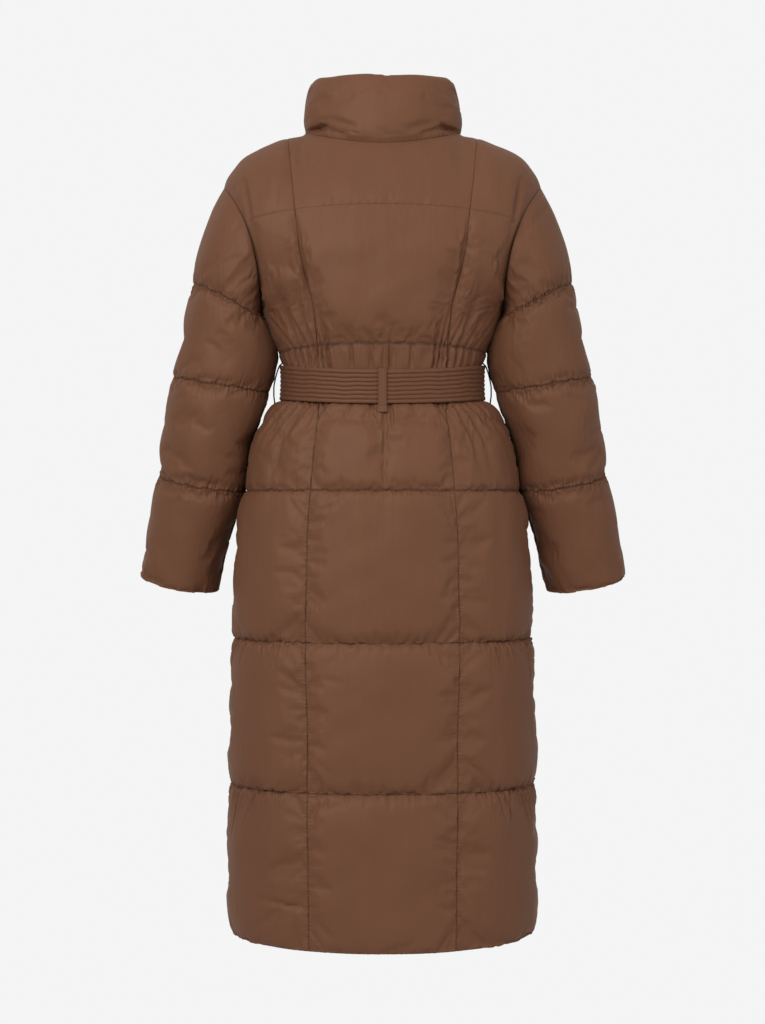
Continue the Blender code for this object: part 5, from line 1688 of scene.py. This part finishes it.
def thread_carrier(node, side):
    """Three strands wound round one another, as a hand-worked thread chain."""
    knots = np.linspace(0, 1, len(THREAD_ROUTE["x"]))
    along = np.linspace(0, 1, 121)
    x, z = smooth(knots, THREAD_ROUTE["x"], along), smooth(knots, THREAD_ROUTE["z"], along)
    line = joined(side * x, np.zeros_like(x), z)
    front = np.array([0.0, 1.0, 0.0])
    across = np.cross(unit(np.gradient(line, axis=0)), front)
    curve = bpy.data.curves.new(node, "CURVE")
    curve.dimensions = "3D"
    curve.bevel_depth = STRAND_RADIUS
    curve.bevel_resolution = 2
    curve.use_fill_caps = True
    for strand in range(3):
        turn = (along * 2 * math.pi * STRAND_TURNS + strand * 2 * math.pi / 3)[:, None]
        shift = across * np.cos(turn) + front * np.sin(turn)
        spline = curve.splines.new("POLY")
        spline.points.add(len(along) - 1)
        for point, place in zip(spline.points, line + shift * STRAND_REACH):
            point.co = (*place, 1.0)
    mesh = baked(placed(node, curve))
    mesh.materials.clear()
    mesh.materials.append(CORD)
    mesh.shade_smooth()
    piece = placed("twisted_" + node, mesh)
    stands_for(piece, node)
    return piece


sides = (("thread_loop_left", LEFT), ("thread_loop_right", RIGHT))
carriers = [back_carrier()] + [thread_carrier(name, side) for name, side in sides]
print("carriers:", [piece.name for piece in carriers])

# %% [markdown]
# ## Stitches
# Thousands of equal stitches along known lines are a job for Geometry Nodes. The lines were remembered while
# the pieces were made. The node group resamples each line, puts a short rod on every point and turns it
# along the line. Spacing, length and thickness are its named inputs.


# %% Stitches
def stitch_nodes():
    """Rods on the points of every line, turned along it."""
    group = bpy.data.node_groups.new("stitches along lines", "GeometryNodeTree")

    def socket(name, kind, way="INPUT"):
        return group.interface.new_socket(name, in_out=way, socket_type="NodeSocket" + kind)

    socket("Lines", "Geometry")
    for name, value in (("Spacing", 0.0042), ("Length", 0.0028), ("Thickness", 0.00028)):
        socket(name, "Float").default_value = value
    socket("Thread", "Material")
    socket("Stitches", "Geometry", "OUTPUT")
    start, end, to_curve, resample, rod, tangent, align, copies, real, paint = map(group.nodes.new, (
        "NodeGroupInput", "NodeGroupOutput", "GeometryNodeMeshToCurve", "GeometryNodeResampleCurve",
        "GeometryNodeMeshCylinder", "GeometryNodeInputTangent", "FunctionNodeAlignRotationToVector",
        "GeometryNodeInstanceOnPoints", "GeometryNodeRealizeInstances", "GeometryNodeSetMaterial"))
    resample.mode = "LENGTH"
    rod.inputs["Vertices"].default_value = 5
    align.axis = "Z"
    for source, out, target, into in (
        (start, "Lines", to_curve, 0), (to_curve, 0, resample, "Curve"),
        (start, "Spacing", resample, "Length"), (start, "Thickness", rod, "Radius"),
        (start, "Length", rod, "Depth"), (tangent, 0, align, "Vector"), (resample, 0, copies, "Points"),
        (rod, "Mesh", copies, "Instance"), (align, 0, copies, "Rotation"),
        (copies, 0, real, 0), (real, 0, paint, "Geometry"), (start, "Thread", paint, "Material"),
        (paint, 0, end, 0),
    ):
        group.links.new(source.outputs[out], target.inputs[into])
    return group


STITCH_LIFT = 0.0001


def stitches(name, wanted, group, slot_name, **sizes):
    """One object with every stitch on the remembered lines whose names fit."""
    points, edges = [], []
    for seam, (line, out) in SEAMS.items():
        if not wanted(seam):
            continue
        first = len(points)
        points += (line + unit(out) * STITCH_LIFT).tolist()
        edges += [(first + k, first + k + 1) for k in range(len(line) - 1)]
    mesh = bpy.data.meshes.new(name)
    mesh.from_pydata(points, edges, [])
    guide = placed(name + " lines", mesh)
    modifier = guide.modifiers.new("stitches", "NODES")
    modifier.node_group = group
    for item in group.interface.items_tree:
        if item.in_out == "INPUT" and item.name in sizes:
            modifier[item.identifier] = sizes[item.name]
        if item.in_out == "INPUT" and item.name == "Thread":
            modifier[item.identifier] = THREAD
    guide.update_tag()
    bpy.context.view_layer.update()
    piece = placed(name, baked(guide))
    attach(piece, "root")
    print(name, len(piece.data.polygons), "faces")


def on_belt(seam):
    return seam.startswith("belt")


group = stitch_nodes()
stitches("seam_stitches", lambda seam: not on_belt(seam), group, "shell_cloth", Spacing=0.0045)
stitches("belt_stitches", on_belt, group, "belt_cloth", Spacing=0.0036, Length=0.0023)

# %% [markdown]
# ## Floor, light and camera
# The coat hangs where a wearer would hold it, a little above a pale floor. The light is that of a
# photographer's white room: large soft lamps in front, behind and to the sides, and one above. The camera
# stands level with the hips.


# %% Floor, light and camera
FLOOR_RADIUS, FLOOR_BELOW_HEM = 1.2, 0.32


def pale_floor():
    middle = (0, 0, HEM - FLOOR_BELOW_HEM)
    bpy.ops.mesh.primitive_circle_add(vertices=96, radius=FLOOR_RADIUS, fill_type="NGON", location=middle)
    floor = bpy.context.object
    floor.name = "floor"
    tree = Tree("pale floor")
    pale = (("Roughness", 0.9), ("Specular IOR Level", 0.1), ("Base Color", (0.78, 0.782, 0.78, 1.0)))
    for name, value in pale:
        tree.shader.inputs[name].default_value = value
    place = tree.node("ShaderNodeTexCoord").outputs["Object"]
    distance = tree.node("ShaderNodeVectorMath", {"operation": "LENGTH"}, i0=place).outputs["Value"]
    fade = tree.node("ShaderNodeMapRange", {"interpolation_type": "SMOOTHSTEP"}, Value=distance)
    for name, value in (("From Min", 0.2), ("From Max", 0.7), ("To Min", 1.0), ("To Max", 0.0)):
        fade.inputs[name].default_value = value
    tree.put(tree.shader.inputs["Alpha"], fade.outputs[0])
    floor.data.materials.append(tree.material)


def lamp(name, place, aim, size, power, glossy=True):
    """A soft rectangular lamp turned to its aim. Without glossy it adds no shine to the cloth."""
    light = bpy.data.lights.new(name, "AREA")
    light.shape, light.size, light.size_y = "RECTANGLE", size[0], size[1]
    light.energy = power
    obj = placed(name, light)
    obj.location = place
    obj.visible_glossy = glossy
    to = np.array(aim) - np.array(place)
    flat = math.hypot(to[0], to[1])
    obj.rotation_euler = (math.atan2(flat, -to[2]), 0.0, math.atan2(-to[0], to[1]))


def white_room(seen, colour, strength):
    """The background is seen in one colour, and lights the coat with another."""
    world = bpy.data.worlds.new("white room")
    bpy.context.scene.world = world
    world.use_nodes = True
    nodes, links = world.node_tree.nodes, world.node_tree.links
    shown, lit = nodes["Background"], nodes.new("ShaderNodeBackground")
    shown.inputs["Color"].default_value = (*seen, 1.0)
    lit.inputs["Color"].default_value = (*colour, 1.0)
    lit.inputs["Strength"].default_value = strength
    path, mix = nodes.new("ShaderNodeLightPath"), nodes.new("ShaderNodeMixShader")
    links.new(path.outputs["Is Camera Ray"], mix.inputs[0])
    links.new(lit.outputs[0], mix.inputs[1])
    links.new(shown.outputs[0], mix.inputs[2])
    links.new(mix.outputs[0], nodes["World Output"].inputs["Surface"])


pale_floor()
white_room((0.905, 0.912, 0.907), (1.0, 0.965, 0.93), 0.50)
MIDDLE = (0.0, 0.0, -0.5)
FLAT, TALL = (2.0, 1.4), (1.8, 2.4)
lamp("key", (1.5, 3.2, 1.1), (0.0, 0.0, -0.6), FLAT, 88)
lamp("top", (0.2, 0.5, 2.4), MIDDLE, (2.4, 1.6), 16, glossy=False)
lamp("fill", (-2.4, 2.6, 0.3), MIDDLE, TALL, 28)
lamp("front key", (-0.9, -3.5, 0.6), MIDDLE, FLAT, 62, glossy=False)
lamp("front fill", (2.4, -2.6, 0.3), MIDDLE, TALL, 28, glossy=False)

camera = placed("camera", bpy.data.cameras.new("camera"))
camera.location = (0.0, 3.3, -0.5325)
camera.rotation_euler = (math.pi / 2, 0.0, math.pi)
camera.data.sensor_width = 36.0
camera.data.lens = 77.34
camera.data.shift_y = -22 / 1024
bpy.context.scene.camera = camera
bpy.context.scene.view_settings.view_transform = "Standard"
